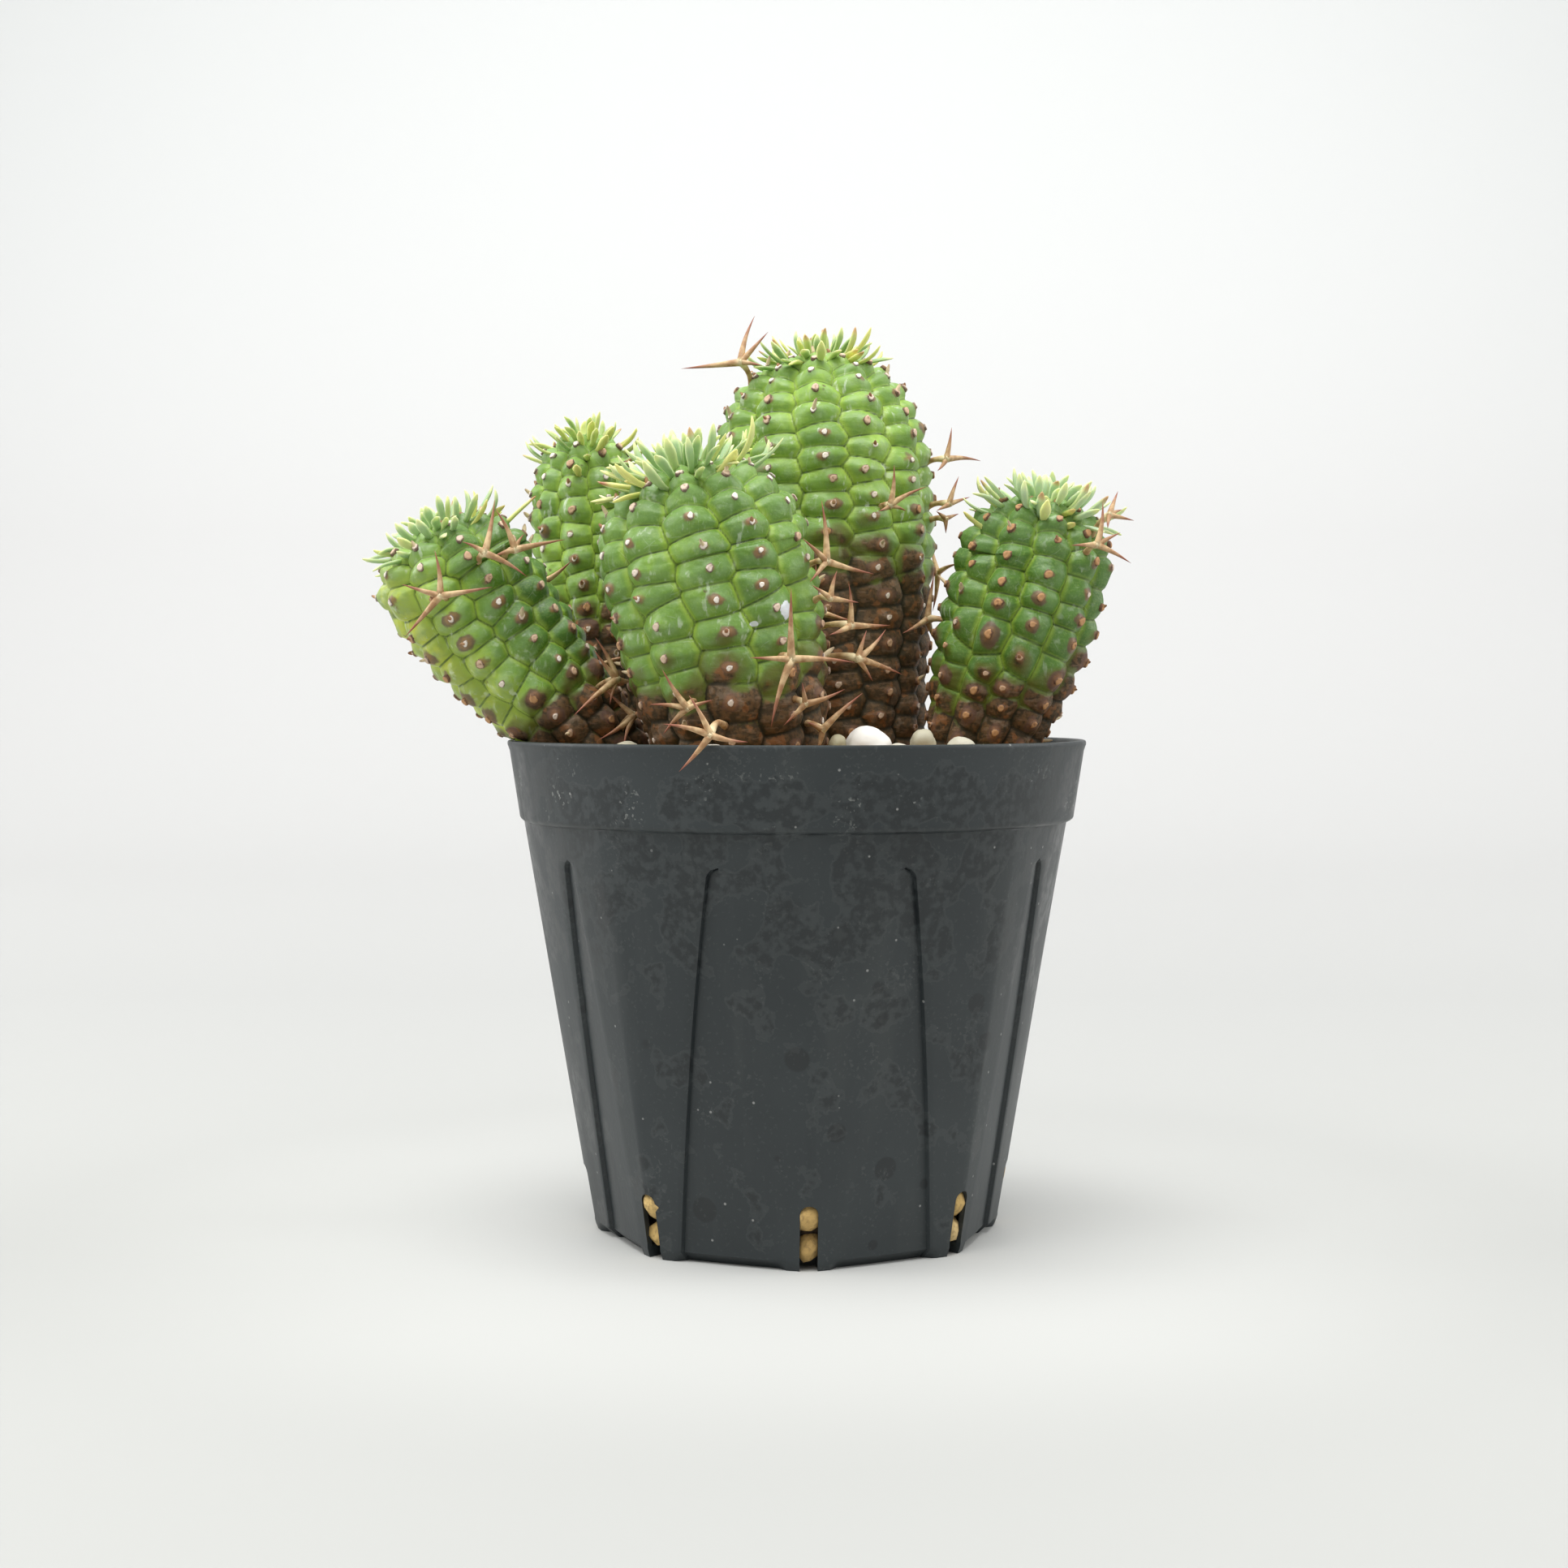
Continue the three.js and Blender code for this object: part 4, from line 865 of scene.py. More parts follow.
# ---- Dried stubs ---------------------------------------------------------
# Withered flower stalks and broken spines, left as short rust-brown pegs on some scars.
def closed_tubes(ring, start, end):
    """Points, faces and share of the way along of tubes made of rings, closed on their end points."""
    tubes, stations, sides = ring.shape[:3]
    points = np.concatenate([ring.reshape(tubes, -1, 3), start, end], 1).reshape(-1, 3)
    faces = copy_faces(grid_faces(stations, sides, closed=True), tubes, stations * sides + 2)
    share = np.concatenate([np.repeat(np.linspace(0, 1, stations), sides), [0, 1]])
    return points, faces, np.tile(share, tubes)


def tapered_rods(paths, radii, sides):
    """Round rods along paths: each ring = path point + radius * (cos, sin) in the plane across
    the path. paths is rods x stations x 3 and radii is rods x stations. Both ends are closed."""
    along = unit(np.gradient(paths, axis=1))
    helper = np.where(np.abs(along[:, :1, 2:]) < 0.8, [[[0.0, 0, 1]]], [[[1.0, 0, 0]]])
    side = unit(np.cross(along, np.broadcast_to(helper, along.shape)))
    other = np.cross(along, side)
    turn = np.linspace(0, 2 * math.pi, sides, endpoint=False)
    ring = (paths[:, :, None] + radii[..., None, None] * (np.cos(turn)[:, None] * side[:, :, None]
            + np.sin(turn)[:, None] * other[:, :, None]))
    return closed_tubes(ring, paths[:, :1], paths[:, -1:])


stub_finish = Finish("dried_rusty_stub", 0.75)
fibre = stub_finish.noise(700.0, 4.0)
dry = stub_finish.paint(
    stub_finish.mix(stub_finish.fade(fibre, 0.35, 0.65), (0.30, 0.13, 0.055), (0.50, 0.30, 0.15)),
    (stub_finish.value("faded"), 0.85, (0.72, 0.60, 0.38)),
    (stub_finish.fade(stub_finish.value("along"), 0.6, 1.0), 0.6, (0.13, 0.055, 0.03)),
)
stub_finish.close(dry, fibre, 0.6, 0.0003)

STUB_SHARE = 0.26
STUB_RADII = np.array([1.25, 0.95, 1.0, 0.8, 0.35])
STUB_SIDES = 6
for name, stem in STEMS.items():
    across, row = all_scars(name, 1.6)
    chosen = hashed(across * 3, row * 5, stem["seed"] + 30) < STUB_SHARE
    across, row = across[chosen], row[chosen]
    point, outward, up, right, size = stem_spot(name, across, row)
    draw = hashed(row * 11, across * 17, stem["seed"])[:, None]
    other = hashed(row * 3, across * 23, stem["seed"])[:, None]
    length = 0.9 + 1.7 * draw ** 2
    lean = unit(outward + (0.5 + 0.4 * other) * up + (other - 0.5) * 1.2 * right)
    t = np.linspace(0, 1, len(STUB_RADII))[None, :, None]
    bend = (draw[:, None] - 0.5) * 0.8 * right[:, None] * t ** 2
    path = (point - 0.3 * outward)[:, None] + lean[:, None] * length[:, None] * t + bend
    points, faces, share = tapered_rods(path, (0.30 + 0.16 * other) * STUB_RADII, STUB_SIDES)
    faded = np.repeat((draw[:, 0] > 0.55) * 1.0, len(STUB_RADII) * STUB_SIDES + 2)
    stubs = put_mesh("stubs_" + name, points, faces, {"along": share, "faded": faded})
    stubs.data.materials.append(stub_finish.material)
    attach(stubs, "root")
# ---- Crown leaves --------------------------------------------------------
# Small fleshy leaves, pale blue-green to yellow, in a tuft on each crown. They
# are narrow and thick, widest near the tip, and bend inwards or outwards.
leaf = Finish("pale_fleshy_leaf", 0.48, {"Subsurface Weight": 0.20, "Subsurface Scale": 0.0015,
              "Subsurface Radius": (0.7, 1.0, 0.3)})
along, dapple = leaf.value("along"), leaf.noise(500.0, 3.0)
leaf_color = leaf.paint(
    leaf.mix(dapple, (0.21, 0.37, 0.12), (0.39, 0.53, 0.25)),
    (leaf.value("frost"), 1.0, (0.56, 0.70, 0.48)),
    (leaf.fade(leaf.value("margin"), 0.45, 1.0), 1.0, (0.60, 0.71, 0.40)),
    (leaf.fade(along, 0.70, 1.0), 1.0, (0.72, 0.78, 0.38)),
    (leaf.fade(along, 0.30, 0.0), 1.0, (0.36, 0.54, 0.18)),
    (leaf.value("yellow"), 1.0, (0.82, 0.78, 0.26)),
    (leaf.fade(along, 0.72, 0.98), leaf.value("burnt"), (0.42, 0.16, 0.09)),
)
leaf.close(leaf_color, dapple, 0.15, 0.0002)

GOLDEN_ANGLE = 137.508
LEAF_WIDTH = 1.75
LEAF_SINK = 0.7  # how far a leaf's root lies under the skin
LEAF_COUNTS = {"front": 76, "tall": 62, "left": 54, "back_left": 38, "right": 72}
LEAF_LENGTHS = {"front": 6.4, "tall": 5.2, "left": 4.3, "back_left": 5.2, "right": 5.2}
LEAF_YELLOWING = {"front": 0.0, "tall": 0.05, "left": -0.05, "back_left": 0.15, "right": -0.60}
LEAF_FROST = {"front": 0.30, "tall": 0.0, "left": 0.35, "back_left": 0.0, "right": 0.85}
# Leaves left lower down on a stem: (rib, row, length, yellow, burnt).
LOW_LEAVES = {
    "front": [(-2.2, 2.2, 6.4, 0.9, 1.0), (-1.6, 1.9, 5.0, 0.6, 0.3), (2.3, 2.0, 4.2, 0.7, 0.2)],
    "tall": [(1.6, 1.9, 4.2, 0.9, 0.6), (-2.2, 2.2, 4.0, 0.5, 0.0)],
    "left": [(-2.6, 2.0, 5.2, 0.5, 0.2), (-3.4, 2.3, 4.6, 0.8, 0.6), (-1.2, 2.0, 4.6, 0.5, 0.1),
             (0.9, 1.9, 4.6, 0.3, 0.0), (2.4, 2.5, 5.2, 0.8, 0.4), (2.9, 3.6, 6.4, 0.7, 0.9)],
    "back_left": [(-2.4, 2.3, 4.6, 0.6, 0.2), (-2.9, 3.0, 5.2, 0.5, 0.5), (0.1, 1.9, 4.0, 0.6, 0.1),
                  (0.1, 3.7, 3.0, 0.8, 0.2), (2.2, 2.8, 4.4, 0.4, 0.1)],
    "right": [(-2.3, 2.5, 5.2, 0.5, 0.3), (-2.1, 3.8, 4.4, 0.8, 0.3), (0.5, 2.0, 3.6, 1.0, 0.5),
              (0.5, 2.8, 3.0, 0.9, 0.4), (-0.4, 1.7, 4.0, 0.4, 0.0)],
}


def leaf_grid(root, out, lift, width_way, length, width, curl):
    """Closed fleshy blades: the middle line goes from root along lift and bends towards out by
    curl; each cross-section is a flat hexagon."""
    t = np.linspace(0, 1, 8)[None, :]
    swing = curl[:, None] * t ** 1.6
    direction = np.cos(swing)[..., None] * lift[:, None] + np.sin(swing)[..., None] * out[:, None]
    middle = root[:, None] + (np.cumsum(direction, 1) - direction[:, :1]) * (length / 7)[:, None, None]
    shape = np.array([0.72, 0.68, 0.72, 0.84, 0.98, 1.0, 0.80, 0.32])
    half = (width / 2)[:, None] * shape
    thick = 0.40 * (width / 1.4)[:, None] * np.array([1.1, 1.0, 0.95, 0.9, 0.85, 0.8, 0.65, 0.35])
    face = unit(np.cross(direction, width_way[:, None]))
    section = np.array([(-1, 0.15), (-0.55, -0.95), (0.55, -0.95), (1, 0.15), (0.5, 0.55), (-0.5, 0.55)])
    ring = (middle[:, :, None] + half[..., None, None] * section[:, :1] * width_way[:, None, None]
            + thick[..., None, None] * section[:, 1:] * face[:, :, None])
    return ring, middle


def leaf_mesh(name, ring, middle, values):
    """All blades of a crown as one mesh, both ends of each blade closed on a point."""
    blades, stations, sides = ring.shape[:3]
    tip = middle[:, -1:] + 0.35 * (middle[:, -1:] - middle[:, -2:-1])
    points, faces, share = closed_tubes(ring, middle[:, :1], tip)
    margin = np.concatenate([np.tile([1.0, 0.35, 0.35, 1.0, 0.1, 0.1], stations), [0.5, 1.0]])
    attributes = {key: np.repeat(value, stations * sides + 2) for key, value in values.items()}
    return put_mesh(name, points, faces, dict(attributes, along=share, margin=np.tile(margin, blades)))


for name, stem in STEMS.items():
    rng = np.random.default_rng(60 + stem["seed"])
    count = LEAF_COUNTS[name]
    spread = ((np.arange(count) + 0.6) / count) ** 0.75
    turn = np.arange(count) * GOLDEN_ANGLE + rng.uniform(-12, 12, count)
    row = 0.15 + 2.65 * spread
    size = stem["pitch"] / 5.0
    length = (LEAF_LENGTHS[name] + 1.2 * rng.uniform(-1, 1, count)) * size * (0.75 + 0.40 * spread)
    yellow = np.clip(rng.uniform(-0.9, 1.0, count) * (0.3 + spread) + LEAF_YELLOWING[name], 0, 0.9)
    burnt = (rng.uniform(0, 1, count) > 0.91) * 0.8
    rib = (turn - stem["turn"]) * stem["ribs"] / 360
    low = np.array(LOW_LEAVES[name])
    rib, row, length, yellow, burnt = (
        np.append(crown, low[:, k]) for k, crown in enumerate((rib, row, length, yellow, burnt)))
    tilt = np.radians(np.append(8 + 78 * spread + rng.uniform(-12, 12, count), np.full(len(low), 72.0)))
    tilt = tilt[:, None]
    point, outward, _, _, _ = stem_spot(name, rib, row)
    axis = unit(np.array(stem["crown"]) - np.array(stem["stations"][-1][:3]))[None]
    away = unit(outward - (outward @ axis[0])[:, None] * axis)
    lift = np.cos(tilt) * axis + np.sin(tilt) * away
    out = np.cos(tilt) * away - np.sin(tilt) * axis
    curl = rng.uniform(-0.75, 0.75, len(rib))
    curl[:count] += 0.15 - 0.45 * spread
    curl[count:] = rng.uniform(-0.7, 0.2, len(low))
    sideways = unit(np.cross(lift, out) + 0.40 * rng.uniform(-1, 1, (len(rib), 1)) * out)
    width = (LEAF_WIDTH + 0.30 * rng.uniform(-1, 1, len(rib))) * size
    ring, middle = leaf_grid(point - LEAF_SINK * outward, out, lift, sideways, length + 0.8, width, curl)
    leaves = leaf_mesh("leaves_" + name, ring, middle, {
        "yellow": yellow, "burnt": burnt, "frost": np.full(len(rib), LEAF_FROST[name])})
    leaves.data.materials.append(leaf.material)
    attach(leaves, "root")
# ---- Star spines ---------------------------------------------------------
# Dead, woody flower stalks that end in a star of sharp rays, tan with red-brown tips.
# Each row: rib, row, stalk length, lift and sway in degrees, then pairs of ray angle
# (0 to the stem's right, 90 to its crown) and ray length.
STAR_SPINES = {
    "left": [
        (0.1, 5.2, 5, 10, 10, (60, 8), (-27, 9.5), (-166, 9.5), (127, 7)),
        (1.0, 4.9, 5, 10, 0, (40, 10), (-69, 8.5), (117, 4.5)),
        (1.6, 5.2, 5, 0, -25, (-21, 9.5), (167, 5), (25, 3.5), (83, 8)),
        (1.8, 11.5, 6, 0, -20, (85, 8.5), (98, 7), (-180, 13), (-41, 5.5), (-151, 5.5)),
        (1.6, 13.1, 5, 20, -10, (97, 6.5), (174, 10), (-158, 7.5)),
        (4, 6.6, 6, 0, 0, (60, 9), (180, 8), (300, 9)),
        (4, 10.6, 5, 0, 0, (90, 8), (200, 8), (320, 9)),
        (5, 11.6, 5, 0, 0, (80, 8), (190, 8), (310, 8)),
    ],
    "front": [
        (-0.7, 10.5, 4, 0, 10, (106, 8), (160, 6.5), (-147, 6.5), (7, 5)),
        (-0.2, 11.3, 16, 14, 0, (107, 7.5), (156, 8), (-141, 8), (-20, 6.5)),
        (1.1, 9.8, 6, 0, -20, (85, 12), (170, 7.5), (-10, 11), (-115, 12)),
        (1.3, 11.0, 4, 0, -20, (11, 7.5), (-147, 5.5), (95, 4)),
        (1.7, 11.9, 5, 0, -30, (39, 9.5), (150, 4), (250, 5)),
        (2.8, 10.1, 8, 0, -40, (34, 9), (-15, 12), (-49, 5.5), (66, 5.5)),
        (2.8, 9.1, 7, 0, -40, (92, 7.5), (-1, 10.5), (-167, 7), (74, 3.5)),
        (2.4, 7.1, 5, 0, -40, (84, 10.5), (-22, 10), (135, 6.5), (-148, 6)),
        (2.1, 8.2, 5, 0, -40, (69, 5), (-15, 5.5), (143, 4.5)),
        (4, 8.4, 5, 0, 0, (90, 9), (200, 9), (320, 9)),
        (6, 10.4, 5, 0, 0, (70, 8), (190, 9), (310, 9)),
    ],
    "tall": [
        (-2.1, 4.2, 6, 0, 40, (83, 8), (111, 10.5), (-144, 11.5), (12, 5)),
        (1.1, 10.3, 4, 0, -10, (23, 8), (82, 7.5), (-21, 3.5), (200, 3)),
        (3.0, 8.3, 5, 0, -45, (71, 6.5), (-4, 9), (215, 4)),
        (2.9, 10.2, 5, 0, -45, (65, 6), (15, 5.5), (200, 4)),
        (2.8, 10.8, 4, 0, -45, (17, 3.5), (150, 3), (265, 3)),
        (5, 6.8, 6, 0, 0, (60, 9), (180, 8), (300, 9)),
        (6, 11.8, 5, 0, 0, (90, 9), (210, 8), (330, 9)),
        (-4, 10.8, 5, 0, 0, (30, 8), (150, 8), (270, 9)),
        (4, 12.8, 5, 0, 0, (60, 8), (170, 7), (290, 8)),
    ],
    "back_left": [
        (5, 5.9, 5, 0, 0, (60, 8), (180, 8), (300, 8)),
        (-4, 9.9, 5, 0, 0, (90, 8), (210, 8), (330, 6)),
        (4, 8.9, 4, 0, 0, (80, 7), (190, 7), (320, 7)),
    ],
    "right": [
        (0.9, 4.2, 6, 0, -30, (-174, 5), (84, 8), (-27, 7), (30, 5)),
        (1.6, 3.2, 6, 10, -30, (45, 6.5), (-27, 5), (10, 3.5), (230, 4)),
        (5, 5.7, 6, 0, 0, (60, 9), (180, 8), (300, 9)),
        (-4, 7.7, 5, 0, 0, (90, 9), (210, 8), (330, 8)),
        (5.5, 9.7, 5, 0, 0, (60, 8), (180, 8), (290, 8)),
    ],
}

spine = Finish("dry_spine_wood", 0.55)
along, streaks = spine.value("along"), spine.noise(650.0, 6.0)
wood = spine.paint(
    spine.mix(spine.fade(streaks, 0.35, 0.68), (0.38, 0.205, 0.09), (0.66, 0.47, 0.25)),
    (spine.fade(along, 0.30, 0.90), 1.0, (0.30, 0.095, 0.055)),
    (spine.fade(along, 0.12, 0.0), 1.0, (0.80, 0.68, 0.42)),
)
spine.close(wood, streaks, 0.35, 0.0003)
def star_frame(name, rib, row, stalk, lift, sway):
    """Foot and hub of a star and its two ray directions, square to its stalk."""
    point, outward, up, right, _ = (v[0] for v in stem_spot(name, rib, row))
    ahead = unit(outward + math.tan(math.radians(lift)) * up + math.tan(math.radians(sway)) * right)
    across_up = unit(up - (up @ ahead) * ahead)
    return point - 0.6 * outward, point + ahead * stalk, ahead, np.cross(across_up, ahead), across_up


STALK_RADII = np.array([0.75, 0.60, 0.52, 0.50, 0.52, 0.60, 0.72, 0.45])
RAY_RADII = np.array([0.76, 0.64, 0.54, 0.44, 0.34, 0.24, 0.13, 0.02])
for name, stars in STAR_SPINES.items():
    rng = np.random.default_rng(90 + STEMS[name]["seed"])
    ray_paths, ray_radii, stalk_paths = [], [], []
    t = np.linspace(0, 1, len(RAY_RADII))[:, None]
    for rib, row, stalk, lift, sway, *rays in stars:
        foot, hub, ahead, across_right, across_up = star_frame(name, rib, row, stalk, lift, sway)
        droop = 0.08 * stalk * np.sin(t * math.pi) * across_up
        stalk_paths.append(foot + (hub + 0.3 * ahead - foot) * t + droop)
        for angle, length in rays:
            angle = math.radians(angle)
            way = math.cos(angle) * across_right + math.sin(angle) * across_up
            side = np.cross(way, ahead) * rng.uniform(-0.05, 0.05)
            arch = (0.12 * t - 0.04 * t ** 2) * ahead + side * np.sin(t * math.pi)
            ray_paths.append(hub - 0.25 * way + length * (way * t + arch))
            ray_radii.append(RAY_RADII * (0.75 + length / 40))
    rays = tapered_rods(np.array(ray_paths), np.array(ray_radii), 7)
    stalks = tapered_rods(np.array(stalk_paths), np.tile(STALK_RADII, (len(stars), 1)), 8)
    points = np.concatenate([rays[0], stalks[0]])
    faces = rays[1] + [[i + len(rays[0]) for i in face] for face in stalks[1]]
    share = np.concatenate([rays[2], 0.26 - 0.26 * stalks[2]])
    star = put_mesh("star_spines_" + name, points, faces, {"along": share})
    star.data.materials.append(spine.material)
    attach(star, "root")
# ---- Soil and pebbles ----------------------------------------------------
# Gritty soil of tan, cream and dark grains in a dark bed, heaped to just under the
# rim, with grains showing in the slits and a few smooth pebbles round the stems.
BED_FLOOR, BED_TOP = 2.2, 85.6


def soil_bed():
    """A closed plug: its side follows the pot's inside with a small gap, its top is lumpy."""
    angle = np.linspace(0, 360, 160, endpoint=False)[None]
    z = np.array([BED_FLOOR, 6, 12, 20, 36, 52, 66, 74])[:, None]
    side = place_around(angle, body_radius(angle, z) - 2.7, z)
    upper_z = np.array([76.5, 80, 84.5])[:, None]
    upper_r = collar_radius(upper_z) - POT_WALL - 0.5
    upper = place_around(angle, upper_r, upper_z)
    top = place_around(angle, np.linspace(upper_r[-1, 0] - 0.6, 0.6, 40)[:, None], BED_TOP)
    top[..., 2] += 0.55 * wave_noise(top, 4.5, 5)
    low = side[:1] * [[[1, 1, 0]]] * np.linspace(0.02, 0.9, 5)[:, None, None] + [0, 0, BED_FLOOR]
    grid = np.concatenate([low, side, upper, top])
    points = np.concatenate([grid.reshape(-1, 3), [[0, 0, BED_FLOOR], [0, 0, BED_TOP + 0.2]]])
    return points, grid_faces(*grid.shape[:2], closed=True)
def ball(rounds):
    """A unit ball from an icosahedron, each face split into four, rounds times over."""
    golden = (1 + math.sqrt(5)) / 2
    points = [(-1, golden, 0), (1, golden, 0), (-1, -golden, 0), (1, -golden, 0),
              (0, -1, golden), (0, 1, golden), (0, -1, -golden), (0, 1, -golden),
              (golden, 0, -1), (golden, 0, 1), (-golden, 0, -1), (-golden, 0, 1)]
    faces = [(0, 11, 5), (0, 5, 1), (0, 1, 7), (0, 7, 10), (0, 10, 11),
             (1, 5, 9), (5, 11, 4), (11, 10, 2), (10, 7, 6), (7, 1, 8),
             (3, 9, 4), (3, 4, 2), (3, 2, 6), (3, 6, 8), (3, 8, 9),
             (4, 9, 5), (2, 4, 11), (6, 2, 10), (8, 6, 7), (9, 8, 1)]
    for _ in range(rounds):
        halfway, split = {}, []
        for a, b, c in faces:
            mids = []
            for pair in ((a, b), (b, c), (c, a)):
                key = tuple(sorted(pair))
                if key not in halfway:
                    halfway[key] = len(points)
                    points.append(tuple((np.array(points[pair[0]]) + points[pair[1]]) / 2))
                mids.append(halfway[key])
            split += [(a, mids[0], mids[2]), (b, mids[1], mids[0]), (c, mids[2], mids[1]), tuple(mids)]
        faces = split
        points = [tuple(p) for p in unit(np.array(points, float))]
    return unit(np.array(points, float)), faces


def turned_frames(rng, count):
    """Random rotations as count x 3 x 3 matrices."""
    first = unit(rng.normal(size=(count, 3)))
    second = unit(np.cross(first, rng.normal(size=(count, 3))))
    return np.stack([first, second, np.cross(first, second)], 1)


def scatter_grains(rng, place, size, rough):
    """Lumpy grains: unit balls with wavy radius, stretched to size, turned at random, at place."""
    ball_points, ball_faces = ball(1)
    lumps = np.stack([1 + rough * wave_noise(ball_points * 3.0, 2.2, seed) for seed in range(8)])
    kind = rng.integers(0, 8, len(place))
    local = ball_points[None] * lumps[kind][..., None] * size[:, None]
    points = np.einsum("gvi,gij->gvj", local, turned_frames(rng, len(place))) + place[:, None]
    return points.reshape(-1, 3), copy_faces(ball_faces, len(place), len(ball_points)), len(ball_points)
def clear_of_stems(place, gap):
    """True where a point is outside every stem by at least gap millimetres."""
    free = np.ones(len(place), bool)
    for name in STEMS:
        profile = profiles[name]
        order = np.argsort(profile["centre"][:, 2])
        z = profile["centre"][order, 2]
        x = np.interp(place[:, 2], z, profile["centre"][order, 0])
        y = np.interp(place[:, 2], z, profile["centre"][order, 1])
        r = np.interp(place[:, 2], z, profile["radius"][order])
        free &= np.hypot(place[:, 0] - x, place[:, 1] - y) > r + gap
    return free


bed_finish = Finish("dark_soil", 0.95)
crumb = bed_finish.noise(600.0, 6.0)
bed_color = bed_finish.mix(bed_finish.fade(crumb, 0.35, 0.65), (0.020, 0.013, 0.008), (0.085, 0.055, 0.032))
bed_finish.close(bed_color, crumb, 0.9, 0.0006)
bed = put_mesh("soil_bed", *soil_bed())
bed.data.materials.append(bed_finish.material)
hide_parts("soil")
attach(bed, "root")

grit = Finish("porous_grain", 0.9)
pores = grit.noise(1500.0, 4.0)
grit_color = grit.ramp(grit.value("tone"), (0.0, (0.055, 0.036, 0.026)), (0.22, (0.16, 0.085, 0.045)),
                       (0.45, (0.42, 0.255, 0.090)), (0.72, (0.60, 0.41, 0.145)), (1.0, (0.62, 0.55, 0.42)))
grit_color = grit.paint(grit_color, (grit.fade(pores, 0.45, 0.7), 0.35, (0.10, 0.065, 0.04)))
grit.close(grit_color, pores, 0.7, 0.0004)

rng = np.random.default_rng(7)
GRAIN_PITCH, GRAIN_ROW, GRAIN_WANDER = 5.6, 4.85, 1.1
GRAIN_TOP, GRAIN_VARY = 88.3, 0.9
FILLER_HEIGHT = 86.0
CRUMB_COUNT = 500
column, line = (lattice.ravel() for lattice in np.meshgrid(np.arange(-11, 12), np.arange(-13, 14)))
drift = [hashed(column, line, axis) - 0.5 for axis in range(3)]
top_layer = np.stack([(column + 0.5 * (line % 2)) * GRAIN_PITCH + GRAIN_WANDER * drift[0],
                      line * GRAIN_ROW + GRAIN_WANDER * drift[1], GRAIN_TOP + GRAIN_VARY * drift[2]], -1)
top_size = rng.uniform(2.35, 2.85, (len(top_layer), 1)) * rng.uniform(0.85, 1.08, (len(top_layer), 3))
top_layer[:, 2] -= top_size.mean(1)
filler = np.concatenate([top_layer + [2.8, 1.6, 0], top_layer + [0, 3.2, 0]])
filler[:, 2] = FILLER_HEIGHT + rng.uniform(-0.5, 0.5, len(filler))
filler_size = rng.uniform(1.3, 1.8, (len(filler), 1)) * rng.uniform(0.8, 1.1, (len(filler), 3))
crumbs = np.stack([*rng.uniform(-48, 48, (2, CRUMB_COUNT)), rng.uniform(86.8, 87.8, CRUMB_COUNT)], -1)
spot = np.concatenate([top_layer, filler, crumbs])
size = np.concatenate([top_size, filler_size, rng.uniform(0.5, 0.95, (CRUMB_COUNT, 3))])
kept = (np.hypot(spot[:, 0], spot[:, 1]) < 50.0 - size.max(1)) & clear_of_stems(spot, 0.1)
spot, size = spot[kept], size[kept]
tone = rng.choice([0.0, 0.2, 0.42, 0.6, 0.75, 0.95], len(spot), p=[0.14, 0.16, 0.24, 0.20, 0.15, 0.11])
slit_spot, slit_size = [], []
for corner in range(8):
    turn = math.radians(POT_TURN + 45 * corner)
    for z, tall in ((4.3 + rng.uniform(-0.4, 0.4), 2.7), (9.6 + rng.uniform(-0.4, 0.6), 3.1)):
        radius = 34.1 + 0.17 * z + rng.uniform(-0.2, 0.3)
        slit_spot.append((radius * math.sin(turn), -radius * math.cos(turn), z))
        slit_size.append((tall, tall * 0.92, tall * 0.86))
spot = np.concatenate([spot, slit_spot])
size = np.concatenate([size, slit_size])
tone = np.append(tone, rng.uniform(0.62, 0.80, len(slit_spot)))
points, faces, each = scatter_grains(rng, spot, size, 0.13)
tone = np.clip(tone + rng.uniform(-0.05, 0.05, len(tone)), 0, 1)
grains = put_mesh("soil_grains", points, faces, {"tone": np.repeat(tone, each)})
grains.data.materials.append(grit.material)
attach(grains, "root")
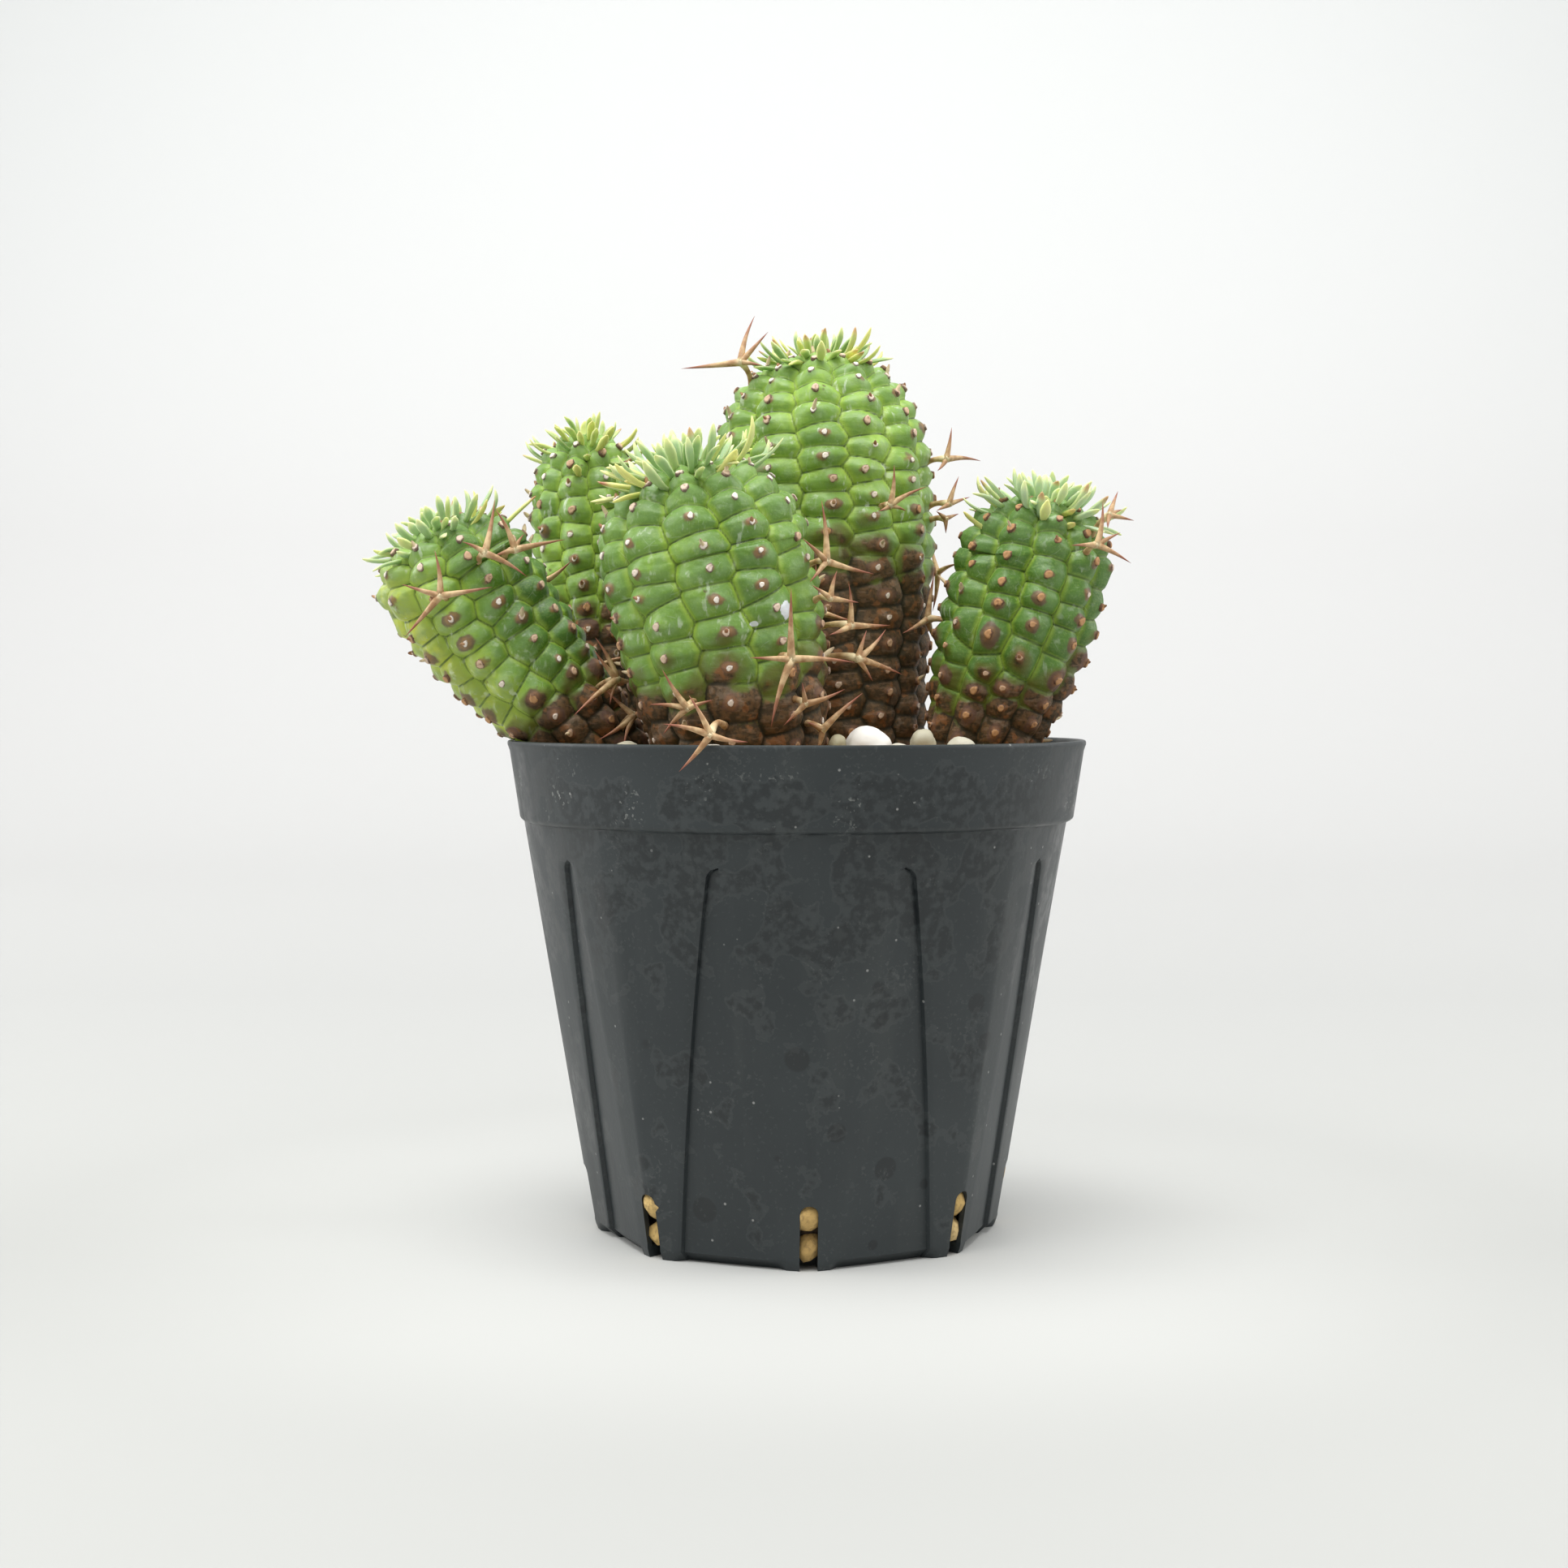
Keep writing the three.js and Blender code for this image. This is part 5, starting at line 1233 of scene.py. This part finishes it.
# Pebbles: x, y, width, depth, height, top and how tan they are.
PEBBLES = [
    (12, -30.5, 8.4, 7.4, 6.6, 92.4, 0.0), (21.6, -29, 4.6, 4.4, 5.2, 92, 0.75),
    (28.2, -28, 5.2, 4.8, 3.4, 90.5, 0.6), (6.9, -33.5, 3.2, 3.4, 3.6, 91, 0.9),
    (17, -38, 5, 4.4, 3.6, 89.6, 0.5), (34.5, -22, 4.6, 5.4, 3.8, 89.0, 0.6),
    (-14, -42.5, 5.4, 4.4, 3.6, 89.6, 0.3), (-29, -31, 5, 5.8, 3.8, 89.8, 0.7),
    (-19, 38, 6.4, 5, 4.4, 90.3, 0.1), (3, 42.5, 5, 4.6, 3.6, 89.7, 0.8),
    (31, 27, 6.2, 5.6, 4.4, 90.4, 0.3), (42, 14, 4.6, 5, 3.6, 89.8, 0.6),
    (-12.5, 6, 5.2, 4.6, 3.6, 89.9, 0.4),
]
pebble_finish = Finish("smooth_pebble", 0.6)
cloud = pebble_finish.noise(350.0, 5.0)
stone = pebble_finish.paint(
    pebble_finish.mix(pebble_finish.value("tan"), (0.80, 0.78, 0.73), (0.31, 0.28, 0.15)),
    (pebble_finish.fade(cloud, 0.5, 0.75), 0.35, (0.34, 0.28, 0.20)),
)
pebble_finish.close(stone, cloud, 0.3, 0.0003)
ball_points, ball_faces = ball(3)
pebble_points = []
for i, (x, y, width, depth, height, top, _) in enumerate(PEBBLES):
    lump = 1 + 0.07 * wave_noise(ball_points * 2.0, 2.6, 40 + i)
    lump += 0.015 * wave_noise(ball_points * 6.0, 2.0, 70 + i)
    shape = ball_points * lump[:, None]
    shape = shape / np.abs(shape).max(0) * [width / 2, depth / 2, height / 2]
    pebble_points.append(shape + [x, y, top - height / 2])
pebble_faces = copy_faces(ball_faces, len(PEBBLES), len(ball_points))
how_tan = np.repeat([pebble[-1] for pebble in PEBBLES], len(ball_points))
pebbles = put_mesh("pebbles", np.concatenate(pebble_points), pebble_faces, {"tan": how_tan})
pebbles.data.materials.append(pebble_finish.material)
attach(pebbles, "root")
